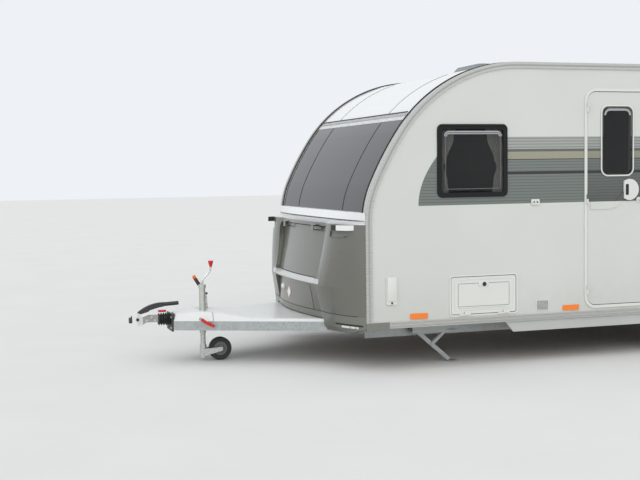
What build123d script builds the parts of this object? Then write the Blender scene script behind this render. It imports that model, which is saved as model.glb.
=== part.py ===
from build123d import *
import os
from math import atan2, cos, degrees, hypot, radians, sin

os.makedirs("parts", exist_ok=True)

# Travel caravan. Millimetres. Stations: x runs rearward from the front line of the side walls,
# y = 0 is the centre plane with the entrance side at -y, z = 0 is the ground.
# save() moves every piece so that the origin is under the middle of the overall length.

# Overall sizes
width = 2300            # over the two side walls
body_length = 6350      # side wall front line to the rearmost face
nose_reach = 1635       # side wall front line to the tip of the coupling
sill_z = 386            # underside of walls and floor
roof_z = 2395           # outer line of the roof edge
wall = 30               # sandwich wall and roof
floor_thick = 44
gap = 5                 # running gap round doors and lids
pin_gap = 0.3           # running gap at pins and sleeves
half = width / 2
inner_half = half - wall
floor_top = sill_z + floor_thick
centre_x = (body_length - nose_reach) / 2

# Chassis rails, and the drawbar members that run from them to the coupling
rail_y, rail_w, rail_z0 = 760, 46, 216
rail_skin = 5
member_z0, member_z1 = 273, 349
member_nose_x, member_nose_y = -1288, 93
member_rear_x = 122
member_slope = (rail_y - member_nose_y) / (member_rear_x - member_nose_x)

# Side sills under the walls
sill_h, sill_proud = 49, 8
sill_x0 = 189

# Side outline: a straight front up to front_straight_z, then these tangent arcs up to the roof
front_straight_z = 1150
front_arcs = [  # radius, turn in degrees
    (750, 24),
    (2600, 10),
    (1233, 56),
]
rear_gap = 70           # rear wall line to the rearmost face, which is the bumper and lights
rear_x = body_length - rear_gap
rear_corner_r = 320


def save(name, *pieces):
    moved = [Pos(-centre_x, 0, 0) * s for p in pieces for s in p.solids()]
    result = moved[0] if len(moved) == 1 else Compound(children=moved)
    result.label = name
    export_step(result, f"parts/{name}.step")


def far(piece):
    return mirror(piece, about=Plane.XZ)


def block(x0, x1, y0, y1, z0, z1):
    centre = Pos((x0 + x1) / 2, (y0 + y1) / 2, (z0 + z1) / 2)
    return centre * Box(abs(x1 - x0), abs(y1 - y0), abs(z1 - z0))


def slab(face, y0, y1):
    """A face drawn in x and z, extruded from y0 up to y1."""
    return Pos(0, y1, 0) * extrude(Plane.XZ * face, amount=y1 - y0)


def plate(face, z0, z1):
    """A face drawn in x and y, extruded from z0 up to z1."""
    return Pos(0, 0, z0) * extrude(face, amount=z1 - z0)


def rounded(x0, x1, z0, z1, radius):
    return Pos((x0 + x1) / 2, (z0 + z1) / 2) * RectangleRounded(x1 - x0, z1 - z0, radius)


def rod(start, end, radius):
    """A round bar between two points."""
    a, b = Vector(*start), Vector(*end)
    return Plane(origin=a, z_dir=b - a) * Cylinder(
        radius, (b - a).length, align=(Align.CENTER, Align.CENTER, Align.MIN)
    )


def polygon(*points):
    return make_face(Polyline(*points, close=True))


# Body outline, drawn in x and z

def body_outline(inset, base_z=sill_z):
    lines = Line((inset, base_z), (inset, front_straight_z))
    at, heading = Vector(inset, front_straight_z), Vector(0, 1)
    for radius, turn in front_arcs:
        arc = JernArc(at, heading, radius - inset, -turn)
        at, heading = arc @ 1, arc % 1
        lines += arc
    top = roof_z - inset
    corner = rear_corner_r - inset
    back = rear_x - inset
    lines += Line(at, (back - corner, top))
    lines += JernArc((back - corner, top), (1, 0), corner, -90)
    lines += Line((back, top - corner), (back, base_z))
    lines += Line((back, base_z), (inset, base_z))
    return make_face(lines)


def skin(outer_inset, inner_inset, y_half):
    """The closed band that follows the outline across the body, between two insets."""
    outside = slab(body_outline(outer_inset), -y_half, y_half)
    inside = slab(body_outline(inner_inset, sill_z - 1), -y_half - 1, y_half + 1)
    return outside - inside


# Wheels and their places
axle_x = 3070
axle_z = 320
tyre_r = 320
track = 2090
arch_r = 378
arch_inner_y = track / 2 - 185

# Windows in the side walls
window_recess = 24      # wall opening to the frame's outer edge
window_proud = 10
window_r = 42
side_windows = [  # name, side, x0, x1, z0, z1
    ("lounge_near", -1, 598, 1202, 1335, 1905),
    ("galley_near", -1, 2860, 3700, 1400, 1905),
    ("bedroom_near", -1, 4680, 5580, 1335, 1905),
    ("lounge_far", 1, 598, 1202, 1335, 1905),
    ("dinette_far", 1, 2250, 3150, 1335, 1905),
    ("bedroom_far", 1, 4680, 5580, 1335, 1905),
]

# Entrance door
door_x0, door_x1 = 1926, 2536
door_z0, door_z1 = 435, 2164
door_r = 70
door_frame_rim = 28
door_glass = (2052, 2350, 1486, 2054)
door_axis_x = door_x0 - 5
door_axis_y = -half - 18

# Service hatch, hinged along its foot
hatch_x0, hatch_x1 = 712, 1273
hatch_z0, hatch_z1 = 417, 708
hatch_r = 14
hatch_rim = 12
hatch_axis_y = -half - 12
hatch_axis_z = hatch_z0 - 4


def side_wall(side):
    body = slab(body_outline(0), -half, -inner_half)
    body -= Pos(axle_x, -half + wall / 2, axle_z) * Rot(90, 0, 0) * Cylinder(arch_r, wall + 2)
    for name, window_side, x0, x1, z0, z1 in side_windows:
        if window_side == side:
            r = window_recess
            hole = rounded(x0 + r, x1 - r, z0 + r, z1 - r, window_r - r / 2)
            body -= slab(hole, -half - 1, -inner_half + 1)
    if side < 0:
        g = gap
        door_hole = rounded(door_x0 - g, door_x1 + g, door_z0 - g, door_z1 + g, door_r + g)
        hatch_hole = rounded(hatch_x0 - g, hatch_x1 + g, hatch_z0 - g, hatch_z1 + g, hatch_r + g)
        body -= slab(door_hole, -half - 1, -inner_half + 1)
        body -= slab(hatch_hole, -half - 1, -inner_half + 1)
        return body
    return far(body)


save("side_wall_near", side_wall(-1))
save("side_wall_far", side_wall(1))

# Side windows: a frame that stands on the wall and a pane inside it
frame_rim = 38
pane_proud, pane_taper = 15, 32     # how far a pane bulges and how steep its edge is
frames, panes = [], []
for name, side, x0, x1, z0, z1 in side_windows:
    inner = rounded(x0 + frame_rim, x1 - frame_rim, z0 + frame_rim, z1 - frame_rim, 24)
    ring = rounded(x0, x1, z0, z1, window_r) - inner
    frame = slab(ring, -half - window_proud, -half)
    pane = Pos(0, -half, 0) * extrude(Plane.XZ * inner, amount=pane_proud, taper=pane_taper)
    frames.append(frame if side < 0 else far(frame))
    panes.append(pane if side < 0 else far(pane))

# Curtains: tied back at both sides of each window, flat against the wall's inner face
curtain_thick, tie_height = 10, 0.42
curtain_profile = [  # share of the window's height, share of its width
    (1.05, 0.30), (0.80, 0.25), (0.52, 0.15), (tie_height, 0.11), (0.24, 0.16), (-0.03, 0.19),
]
curtains = []
for name, side, x0, x1, z0, z1 in side_windows:
    left_edge = [(x0 + 8 + part * (x1 - x0), z0 + rise * (z1 - z0)) for rise, part in curtain_profile]
    outline = [(x0 + 8, left_edge[-1][1]), (x0 + 8, left_edge[0][1])] + left_edge
    left_curtain = slab(polygon(*outline), -inner_half, -inner_half + curtain_thick)
    right_curtain = mirror(left_curtain, about=Plane(origin=((x0 + x1) / 2, 0, 0), z_dir=(1, 0, 0)))
    for curtain in (left_curtain, right_curtain):
        curtains.append(curtain if side < 0 else far(curtain))
save("curtains", *curtains)

# Front and roof skin between the side walls
skin_out, skin_in = 6, 36
front_top_x = 950       # joint between the front cap and the roof panel
band = skin(skin_out, skin_in, inner_half)
front_zone = block(-10, front_top_x, -half, half, front_straight_z, roof_z + 10)
roof_zone = block(front_top_x, rear_x - rear_corner_r, -half, half, roof_z - 100, roof_z + 10)
rear_zone = block(rear_x - rear_corner_r, rear_x + 10, -half, half, sill_z, roof_z + 10)

# Front window band: three panes let into the front cap
pane_z0, pane_z1 = 1235, 1942
pane_seam = 6
pane_thick = 9
pane_edge, pane_split = inner_half - 63, 593
pane_columns = [  # y0, y1
    (-pane_edge, -pane_split - pane_seam / 2),
    (-pane_split + pane_seam / 2, pane_split - pane_seam / 2),
    (pane_split + pane_seam / 2, pane_edge),
]
pane_lap = 32
front_cap = band & front_zone
front_panes = []
for y0, y1 in pane_columns:
    rebate = skin(skin_out - 1, skin_out + pane_thick, half)
    front_cap -= rebate & block(-20, 800, y0 - 3, y1 + 3, pane_z0 - 3, pane_z1 + 3)
    lap = pane_lap
    front_cap -= block(-20, 800, y0 + lap, y1 - lap, pane_z0 + lap, pane_z1 - lap)
    glass = skin(skin_out, skin_out + pane_thick, half)
    front_panes.append(glass & block(-20, 800, y0, y1, pane_z0, pane_z1))
save("front_panes", *front_panes)

# Fine ribs across the cap above the panes, and the two seams that run back to the roof
rib_groove, rib_count, rib_pitch, rib_z0 = 3, 5, 11, 1950
groove_depth = 3
cap_seam_y, cap_seam = pane_split, 5
cap_groove = skin(skin_out - 1, skin_out + groove_depth, inner_half)
for i in range(rib_count):
    z = rib_z0 + i * rib_pitch
    front_cap -= cap_groove & block(-20, 800, -inner_half, inner_half, z, z + rib_groove)
for y in (-cap_seam_y, cap_seam_y):
    front_cap -= cap_groove & block(
        -20, front_top_x, y - cap_seam / 2, y + cap_seam / 2, rib_z0 + rib_count * rib_pitch, roof_z + 10
    )

# Roof panel and its rooflights
rooflights = [  # x centre, y centre, length, width
    (1750, 0, 760, 560),
    (3350, 0, 440, 440),
    (5050, 0, 440, 440),
]
rooflight_frame_h, rooflight_dome_h = 34, 46
roof_top = roof_z - skin_out
roof_panel = band & roof_zone
light_frames, light_domes = [], []
for x, y, length, wide in rooflights:
    hole = Pos(x, y) * RectangleRounded(length - 120, wide - 120, 30)
    roof_panel -= plate(hole, roof_top - 60, roof_top + 10)
    ring = Pos(x, y) * (RectangleRounded(length, wide, 60) - RectangleRounded(length - 120, wide - 120, 30))
    light_frames.append(plate(ring, roof_top, roof_top + rooflight_frame_h))
    base = Pos(x, y, roof_top + rooflight_frame_h) * RectangleRounded(length - 16, wide - 16, 54)
    crown = Pos(x, y, roof_top + rooflight_frame_h + rooflight_dome_h)
    light_domes.append(loft([base, crown * RectangleRounded(length - 90, wide - 90, 40)], ruled=True))
save("roof_panel", roof_panel)
save("rooflight_frames", *light_frames)
save("rooflight_domes", *light_domes)

# Rear panel with its window
rear_window = (-560, 560, 1400, 1905)  # y0, y1, z0, z1
rear_panel = band & rear_zone
ry0, ry1, rz0, rz1 = rear_window
rear_panel -= block(rear_x - 60, rear_x + 10, ry0 + 24, ry1 - 24, rz0 + 24, rz1 - 24)
save("rear_panel", rear_panel)
rear_face = rear_x - skin_out


def rear_plate(face, x0, x1):
    """A face drawn in y and z, extruded from x0 back to x1."""
    return Pos(x0, 0, 0) * extrude(Plane.YZ * face, amount=x1 - x0)


rear_outer = rounded(ry0, ry1, rz0, rz1, window_r)
rear_inner = rounded(ry0 + frame_rim, ry1 - frame_rim, rz0 + frame_rim, rz1 - frame_rim, 24)
frames.append(rear_plate(rear_outer - rear_inner, rear_face, rear_face + 12))
panes.append(Pos(rear_face, 0, 0) * extrude(Plane.YZ * rear_inner, amount=pane_proud, taper=pane_taper))
save("window_frames", *frames)
save("window_panes", *panes)

# Rear bumper and lamp clusters
bumper_z0, bumper_z1 = 300, 560
bumper_face = polygon(
    (rear_x, sill_z), (rear_face - 90, sill_z), (rear_face - 90, bumper_z0),
    (body_length - 25, bumper_z0), (body_length, bumper_z0 + 60), (body_length, bumper_z1 - 60),
    (rear_x, bumper_z1),
)
rear_bumper = slab(bumper_face, -half, half)
rear_bumper -= block(body_length - 6, body_length + 1, -265, 265, 372, 488)
save("rear_bumper", rear_bumper)
lamp_y0, lamp_y1, lamp_z0, lamp_z1 = 900, 1090, 620, 1180
lamp = rear_plate(rounded(lamp_y0, lamp_y1, lamp_z0, lamp_z1, 40), rear_face, body_length - 12)
high_lamp = rear_plate(rounded(-180, 180, 2015, 2045, 12), rear_face, rear_face + 14)
save("rear_lamps", lamp, far(lamp), high_lamp)

# Edge trims: the bright rail round the outline of each side wall
trim_width, trim_proud = 50, 10
trim_face = body_outline(0) - body_outline(trim_width, sill_z - 1)
trim = slab(trim_face, -half - trim_proud, -half)
save("edge_trims", trim, far(trim))

# Side sills and the lower skirts behind and ahead of the wheels
skirt_z0 = 252
sill_pieces, skirt_pieces = [], []
arch_x0 = axle_x - arch_r - 12
arch_x1 = axle_x + arch_r + 12
sill_runs = [(sill_x0, arch_x0), (arch_x1, rear_face - 90)]
skirt_runs = [(1185, arch_x0), (arch_x1, rear_face - 90)]
sill_profile = [  # out from the wall, down from the sill line
    (8, 0), (8, 10), (4, 12), (4, 20), (8, 22), (8, 32), (4, 34), (4, 40), (11, 43), (11, sill_h),
    (-22, sill_h), (-22, 0),
]
sill_face = polygon(*[(-half - out, sill_z - down) for out, down in sill_profile])
for x0, x1 in sill_runs:
    piece = Pos(x0, 0, 0) * extrude(Plane.YZ * sill_face, amount=x1 - x0)
    sill_pieces += [piece, far(piece)]
for x0, x1 in skirt_runs:
    skirt_face = polygon(
        (x0, sill_z - sill_h), (x0 + 70, skirt_z0), (x1, skirt_z0), (x1, sill_z - sill_h),
    )
    piece = slab(skirt_face, -half + 2, -half + 20)
    skirt_pieces += [piece, far(piece)]
save("side_sills", *sill_pieces)
save("side_skirts", *skirt_pieces)

# Front lower panel, bumper and ledge: closed plan sections stacked in z
shoulder_y = 600
side_y = half - 150


def plan_section(z, nose, shoulder, side, inset=0):
    """Plan outline of the bowed front: nose, shoulder and side are its reach at y = 0, shoulder_y, side_y."""
    edge = half - inset
    keep = 1 - inset / half
    right = ThreePointArc((0, -edge), (-(side - inset), -side_y * keep), (-(shoulder - inset), -shoulder_y))
    nose_arc = ThreePointArc(
        (-(shoulder - inset), -shoulder_y), (-(nose - inset), 0), (-(shoulder - inset), shoulder_y)
    )
    left = ThreePointArc((-(shoulder - inset), shoulder_y), (-(side - inset), side_y * keep), (0, edge))
    return Pos(0, 0, z) * make_face(right + nose_arc + left + Line((0, edge), (0, -edge)))


def plan_loft(levels, inset=0, ruled=True):
    return loft([plan_section(*level, inset=inset) for level in levels], ruled=ruled)


# The panel leans forward up to a lip; below that its middle is set back, between two seams
panel_z0, lip_z, panel_z1 = 430, 645, 1140
side_levels = [  # z, nose, shoulder, side
    (panel_z0, 252, 184, 92),
    (lip_z, 270, 230, 108),
]
lower_levels = [
    (panel_z0, 252, 184, 92),
    (lip_z, 240, 192, 102),
]
upper_levels = [
    (lip_z, 270, 230, 108),
    (860, 220, 180, 114),
    (panel_z1, 172, 134, 98),
]
panel_thick, lower_thick = 30, 44
seam_y, seam_w, seam_deep = 490, 5, 4
side_outer = plan_loft(side_levels)
side_shell = side_outer - plan_loft(side_levels, lower_thick)
middle_zone = block(-400, 0, -seam_y, seam_y, panel_z0 - 1, lip_z + 1)
middle_shell = (plan_loft(lower_levels) - plan_loft(lower_levels, lower_thick)) & middle_zone
lower_shell = side_shell - middle_zone + middle_shell
upper_outer = plan_loft(upper_levels, ruled=False)
upper_shell = upper_outer - plan_loft(upper_levels, panel_thick, ruled=False)

# Locker lid: set back in a rim of the upper part, and hinged along its upper edge
lid_z0, lid_z1 = 700, 1100
lid_half0, lid_half1 = 567, 643
lid_corner_r = 50
lid_gap, lid_drop = 12, 6    # the lid hangs a little lower in its hole
lid_recess, lid_thick = 40, 18
lid_face = polygon((-lid_half0, lid_z0), (lid_half0, lid_z0), (lid_half1, lid_z1), (-lid_half1, lid_z1))
lid_face = fillet(lid_face.vertices(), lid_corner_r)
lid_hole = offset(lid_face, lid_gap)
lid_face += Pos(0, -lid_drop) * lid_face
rim_face = offset(lid_face, lid_gap + panel_thick)
reach = -400
lid_front = plan_loft(upper_levels, lid_recess, ruled=False)
lid_back = plan_loft(upper_levels, lid_recess + lid_thick, ruled=False)
rim = (upper_outer - lid_back) & rear_plate(rim_face, reach, 0) & block(reach, 0, -half, half, lip_z, panel_z1)
lid_panel = (lid_front - lid_back) & rear_plate(lid_face, reach, 0)
front_panel = lower_shell + upper_shell + rim - rear_plate(lid_hole, reach, 0)

# The lip under the lid slopes down and forward
lip_top = lid_z0 - lid_gap
lip_slope = loft([
    plan_section(lip_z - 1, *upper_levels[0][1:]),
    plan_section(lip_top, 262, 222, 106, inset=lid_recess),
], ruled=True)
lip_zone = block(reach, 0, -lid_half0 + 20, lid_half0 - 20, lip_z + 8, lip_top + 1)
front_panel -= lip_zone - lip_slope

# Seams of the middle panel, and the finger scoops under the grab handles
seam_tool = side_outer - plan_loft(lower_levels, seam_deep)
scoop_z, scoop_r = 1065, 35
for side in (-1, 1):
    y = side * seam_y
    front_panel -= seam_tool & block(reach, 0, y - seam_w / 2, y + seam_w / 2, panel_z0 + 1, lip_z - 1)
    front_panel -= rod((-185, side * 790, scoop_z), (-127, side * 1018, scoop_z), scoop_r)
front_panel -= block(-1, 10, -half, half, panel_z0 - 30, panel_z1 + 60)

# Its hinges stand in front of the rim, so that the lid swings out of its recess
lid_axis_x, lid_axis_z = -170, lid_z1 + 20
knuckle_r, knuckle_l, hinge_y = 6, 60, 400
for y in (-hinge_y, hinge_y):
    fixed = rod((lid_axis_x, y - knuckle_l, lid_axis_z), (lid_axis_x, y - pin_gap / 2, lid_axis_z), knuckle_r)
    fixed += block(lid_axis_x, -140, y - knuckle_l, y - pin_gap / 2, lid_axis_z - 3, lid_axis_z + 3)
    moving = rod((lid_axis_x, y + pin_gap / 2, lid_axis_z), (lid_axis_x, y + knuckle_l, lid_axis_z), knuckle_r)
    arm_x0 = lid_axis_x - knuckle_r
    moving += block(arm_x0, arm_x0 + 5, y + pin_gap / 2, y + knuckle_l, lid_z1 - 30, lid_axis_z)
    moving += block(arm_x0, -110, y + pin_gap / 2, y + knuckle_l, lid_z1 - 30, lid_z1 - 22)
    front_panel += fixed
    lid_panel += moving - lid_back
save("front_panel", front_panel)
save("locker_lid", lid_panel)

# Grab handles on the upper corners: a curved bar on two posts
grip_y0, grip_y1, post = 900, 1066, 20
grip_z0, grip_z1 = 1096, 1136
grip_out, grip_in = 40, 26
grip_levels = [(grip_z0, 176, 138, 99), (grip_z1, 172, 134, 98)]
grips = []
for side in (-1, 1):
    bar = plan_loft(grip_levels, -grip_out) - plan_loft(grip_levels, -grip_in)
    handle = bar & block(reach, 0, side * grip_y0, side * grip_y1, grip_z0, grip_z1)
    posts = plan_loft(grip_levels, -grip_in) - plan_loft(grip_levels, 1)
    for y in (grip_y0, grip_y1 - post):
        handle += posts & block(reach, 0, side * y, side * (y + post), grip_z0, grip_z1)
    grips.append(handle - front_panel)
save("grab_handles", *grips)

# The silver ledge over the panel, and the white sill under the panes, which is part of the cap
ledge_z1, sill_foot, sill_head = 1166, 1172, 1231
ledge = plan_loft([upper_levels[2], (ledge_z1, 56, 48, 16)])
save("front_ledge", ledge)
cap_sill = plan_loft([(sill_foot, 60, 52, 20), (sill_head, 16, 14, 10)])
cap_sill += block(0, skin_out + 4, -inner_half, inner_half, sill_foot, sill_head)
front_cap += cap_sill
save("front_cap", front_cap)


def drawbar_y(x, margin):
    """Half width of the drawbar at a station, with a margin outside its members."""
    return member_nose_y + (x - member_nose_x) * member_slope + rail_w / 2 + margin


# Bumper: a shell with a notch that clears the drawbar, and ends that run back to the sills
bumper_z0, bumper_mid_z = 290, 380
bumper_levels = [
    (bumper_z0, 205, 168, 60),
    (330, 240, 180, 86),
    (panel_z0, 252, 184, 92),
]
bumper_thick = 36
front_bumper = plan_loft(bumper_levels) - plan_loft(bumper_levels, bumper_thick)
notch_x0, notch_x1 = -360, 1
notch = polygon(
    (notch_x0, -drawbar_y(notch_x0, 18)), (notch_x1, -drawbar_y(notch_x1, 18)),
    (notch_x1, drawbar_y(notch_x1, 18)), (notch_x0, drawbar_y(notch_x0, 18)),
)
front_bumper -= plate(notch, bumper_z0 - 10, bumper_mid_z)
corner_cut = rear_plate(
    polygon(
        (-half - 9, bumper_z0 - 9), (-half - 9, 340), (-half + 40, 326), (-980, bumper_z0),
        (-980, bumper_z0 - 9),
    ),
    reach, 1,
)
front_bumper -= corner_cut + far(corner_cut)
bumper_end = polygon((0, 326), (0, sill_z), (sill_x0, sill_z), (sill_x0, sill_z - sill_h))
bumper_end_piece = slab(bumper_end, -half - sill_proud, -half + 22)
front_bumper += bumper_end_piece + far(bumper_end_piece)
save("front_bumper", front_bumper)
bulkhead = block(0, 18, -inner_half, inner_half, floor_top, front_straight_z)
save("locker_bulkhead", bulkhead)

# Floor panel: out to the walls and forward under the front locker
floor_panel = block(0, rear_x - skin_in, -inner_half, inner_half, sill_z, floor_top)
for side in (-1, 1):
    floor_panel -= block(
        axle_x - arch_r, axle_x + arch_r, side * arch_inner_y, side * (half + 1), sill_z - 1, floor_top + 1
    )
locker_floor = plan_section(floor_top - 14, *lower_levels[0][1:], inset=bumper_thick + 4)
floor_panel += extrude(locker_floor, 14)
save("floor_panel", floor_panel)

# Wheel boxes: the arched housings inside the body
box_wall = 6
box_face = Circle(arch_r) - Circle(arch_r - box_wall)
inner_face = Circle(arch_r)
wheel_box = slab(Pos(axle_x, axle_z) * box_face, -inner_half, -arch_inner_y)
wheel_box += slab(Pos(axle_x, axle_z) * inner_face, -arch_inner_y - box_wall, -arch_inner_y)
wheel_box &= block(0, body_length, -half, half, floor_top, roof_z)
save("wheel_boxes", wheel_box, far(wheel_box))

# Door frame and leaf
frame_hole = rounded(door_x0 - gap, door_x1 + gap, door_z0 - gap, door_z1 + gap, door_r + gap)
r = door_frame_rim
frame_edge = rounded(door_x0 - r, door_x1 + r, door_z0 - r, door_z1 + r, door_r + r)
door_frame = slab(frame_edge - frame_hole, -half - trim_proud, -half)
leaf = slab(rounded(door_x0, door_x1, door_z0, door_z1, door_r), -half - 4, -inner_half)
gx0, gx1, gz0, gz1 = door_glass
leaf -= slab(rounded(gx0 + 20, gx1 - 20, gz0 + 20, gz1 - 20, 40), -half - 10, -inner_half + 1)
handle_x0, handle_x1, handle_z0, handle_z1 = 2262, 2400, 1300, 1440
ledge_z0, ledge_h = 1213, 41
leaf += slab(
    polygon(
        (door_x0 + 26, ledge_z0), (2120, ledge_z0), (2200, ledge_z0 + 18), (handle_x0 - 2, handle_z0),
        (handle_x0 - 2, handle_z0 + 52), (2185, ledge_z0 + ledge_h + 22), (2110, ledge_z0 + ledge_h),
        (door_x0 + 26, ledge_z0 + ledge_h),
    ), -half - 10, -half - 4,
)
hinge_levels = [560, 1300, 2040]
hinge_r, hinge_l = 7, 36
for z in hinge_levels:
    low = rod((door_axis_x, door_axis_y, z - hinge_l), (door_axis_x, door_axis_y, z - pin_gap / 2), hinge_r)
    low += block(
        door_axis_x - 12, door_axis_x, door_axis_y, -half - trim_proud + 1, z - hinge_l, z - pin_gap / 2
    )
    high = rod((door_axis_x, door_axis_y, z + pin_gap / 2), (door_axis_x, door_axis_y, z + hinge_l), hinge_r)
    high += block(door_axis_x, door_axis_x + 24, door_axis_y - 5, door_axis_y + 2, z + pin_gap / 2, z + hinge_l)
    high += block(door_axis_x + 14, door_axis_x + 24, door_axis_y, -half - 3, z + pin_gap / 2, z + hinge_l)
    door_frame += low
    leaf += high
save("door_frame", door_frame)
save("door_leaf", leaf)
glass_face = rounded(gx0, gx1, gz0, gz1, 60)
save("door_window", slab(glass_face, -half - 12, -half - 4))

# Service hatch frame and door
r = hatch_rim
hatch_opening = rounded(hatch_x0 - gap, hatch_x1 + gap, hatch_z0 - gap, hatch_z1 + gap, hatch_r + gap)
r += gap
hatch_edge = rounded(hatch_x0 - r, hatch_x1 + r, hatch_z0 - r, hatch_z1 + r, hatch_r + r)
hatch_frame = slab(hatch_edge - hatch_opening, -half - 6, -half)
hatch_door = slab(rounded(hatch_x0, hatch_x1, hatch_z0, hatch_z1, hatch_r), -half - 2, -inner_half)
groove_in, groove_w = 24, 4
hatch_groove = rounded(
    hatch_x0 + groove_in, hatch_x1 - groove_in, hatch_z0 + groove_in, hatch_z1 - groove_in, 6
) - rounded(
    hatch_x0 + groove_in + groove_w, hatch_x1 - groove_in - groove_w,
    hatch_z0 + groove_in + groove_w, hatch_z1 - groove_in - groove_w, 4
)
hatch_door -= slab(hatch_groove, -half - 3, -half)
for x in (hatch_x0 + 110, hatch_x1 - 110):
    fixed = rod((x - 50, hatch_axis_y, hatch_axis_z), (x - pin_gap / 2, hatch_axis_y, hatch_axis_z), 5)
    fixed += block(x - 50, x - pin_gap / 2, hatch_axis_y, -half - 5, hatch_axis_z - 12, hatch_axis_z)
    moving = rod((x + pin_gap / 2, hatch_axis_y, hatch_axis_z), (x + 50, hatch_axis_y, hatch_axis_z), 5)
    moving += block(x + pin_gap / 2, x + 50, hatch_axis_y - 5, hatch_axis_y, hatch_axis_z, hatch_z0 + 20)
    moving += block(x + pin_gap / 2, x + 50, hatch_axis_y - 5, -half - 1, hatch_z0 + 12, hatch_z0 + 20)
    hatch_frame += fixed
    hatch_door += moving
save("hatch_frame", hatch_frame)
save("hatch_door", hatch_door)

# Chassis: two deep rails, the drawbar members that meet at the coupling, and cross members
rail = block(member_rear_x, rear_x - 160, rail_y - rail_w / 2, rail_y + rail_w / 2, rail_z0, sill_z)
rail -= block(
    member_rear_x - 1, rear_x, rail_y - rail_w, rail_y + rail_w / 2 - rail_skin,
    rail_z0 + rail_skin, sill_z - rail_skin,
)
member_angle = degrees(atan2(rail_y - member_nose_y, member_rear_x - member_nose_x))
member_length = hypot(rail_y - member_nose_y, member_rear_x - member_nose_x) + 30
member = Pos(member_nose_x, member_nose_y, 0) * Rot(0, 0, member_angle) * block(
    0, member_length, -rail_w / 2, rail_w / 2, member_z0, member_z1
)
side_frame = rail + member
frame = side_frame + far(side_frame)
web_y = rail_y + rail_w / 2 - rail_skin / 2
for x in (150, 1500, 2700, 4400, rear_x - 210):
    frame += block(x, x + 50, -web_y, web_y, 300, 360)
axle_tube_x, axle_tube_z, axle_tube_r = axle_x - 130, 300, 58
frame -= rod((axle_tube_x, -half, axle_tube_z), (axle_tube_x, half, axle_tube_z), axle_tube_r + 2)
frame += block(-1106, -1083, -185, 185, member_z0 + 6, member_z1 - 6)
frame -= block(member_nose_x - 60, member_nose_x - 2, -half, half, 200, sill_z)
save("chassis_frame", frame)

# Axle: tube, trailing arms, back plates and spindles
arm_y0, arm_y1 = 880, 912
axle_tube = Pos(axle_tube_x, 0, axle_tube_z) * Rot(90, 0, 0) * extrude(
    RegularPolygon(axle_tube_r, 6), amount=arm_y1, both=True
)
axle_parts = axle_tube
for side in (-1, 1):
    arm = make_hull(
        (Pos(axle_tube_x, axle_tube_z) * Circle(52)).edges() + (Pos(axle_x, axle_z) * Circle(40)).edges()
    )
    arm_solid = slab(arm, -arm_y1, -arm_y0)
    spindle = rod((axle_x, -arm_y0, axle_z), (axle_x, -track / 2 + 10, axle_z), 25)
    back_plate = rod((axle_x, -arm_y1, axle_z), (axle_x, -arm_y1 - 6, axle_z), 118)
    bracket = block(axle_tube_x - 60, axle_tube_x + 60, -rail_y - rail_w / 2 - 8, -rail_y - rail_w / 2,
                    axle_tube_z - 40, sill_z - 10)
    piece = arm_solid + spindle + back_plate + bracket
    axle_parts += piece if side < 0 else far(piece)
save("axle", axle_parts)

# Road wheels: drawn about local z, which points outboard
rim_r = 178
tyre_edge = [  # radius, half width, from the bead out to the tread
    (rim_r + 4, 82), (252, 97), (304, 91), (tyre_r, 72),
]
section = polygon(*tyre_edge, *[(r, -w) for r, w in reversed(tyre_edge)])
tyre = revolve(Plane.XZ * section, Axis.Z)
rim_section = polygon(
    (rim_r - 14, -86), (rim_r + 14, -92), (rim_r + 14, -86), (rim_r + 4, -82), (rim_r + 4, 82),
    (rim_r + 14, 86), (rim_r + 14, 92), (rim_r - 8, 86), (rim_r - 14, 60), (rim_r - 14, 40), (90, 24),
    (0, 30), (0, 10), (90, 10), (rim_r - 14, 20),
)
rim = revolve(Plane.XZ * rim_section, Axis.Z)
for i in range(10):
    window = Rot(0, 0, 36 * i) * Pos(128, 0, 0) * extrude(RectangleRounded(58, 30, 12), 60)
    rim -= window
drum = Pos(0, 0, -120) * Cylinder(114, 60, align=(Align.CENTER, Align.CENTER, Align.MIN))
drum += Pos(0, 0, -60) * Cylinder(62, 70, align=(Align.CENTER, Align.CENTER, Align.MIN))
drum -= Pos(0, 0, -121) * Cylinder(25 + pin_gap, 113 + pin_gap, align=(Align.CENTER, Align.CENTER, Align.MIN))
rim += drum
for name, side in (("near", -1), ("far", 1)):
    place = Pos(axle_x, side * track / 2, axle_z) * Rot(-90 * side, 0, 0)
    save(f"tyre_{name}", place * tyre)
    save(f"rim_{name}", place * rim)

# Coupling, bellows and overrun housing
coupling_z = 360
ball_x, ball_r = -1578, 25.4
bellows_x0, bellows_x1 = -1400, -1302
head_r, head_half, neck_half = 50, 44, 30
head_x, head_z, head_foot = -1572, 366, 316
neck_z0, neck_z1 = 338, 392
head_face = Pos(head_x, head_z) * Circle(head_r) + polygon(
    (head_x, head_foot), (-1535, head_foot), (-1500, neck_z0), (bellows_x0, neck_z0), (bellows_x0, neck_z1),
    (-1535, neck_z1), (head_x, head_z + head_r),
)
head_plan = Pos(ball_x, 0) * Circle(head_half) + polygon(
    (ball_x, -head_half), (-1530, -neck_half), (bellows_x0, -neck_half), (bellows_x0, neck_half),
    (-1530, neck_half), (ball_x, head_half),
)
nose_pad = rod((-nose_reach, 0, coupling_z - 2), (head_x - 20, 0, coupling_z - 2), 24)
coupling_head = slab(head_face, -head_half, head_half) & plate(head_plan, head_foot - 1, 420)
coupling_head += nose_pad + rod((head_x + 6, -head_half - 4, 362), (head_x + 6, head_half + 4, 362), 14)
coupling_head -= block(-1700, head_x + head_r, -60, 60, 200, head_foot)
coupling_head -= Pos(ball_x, 0, coupling_z) * Sphere(ball_r)
coupling_head -= rod((ball_x, 0, 300), (ball_x, 0, coupling_z), ball_r)
save("coupling_head", coupling_head)
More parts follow.
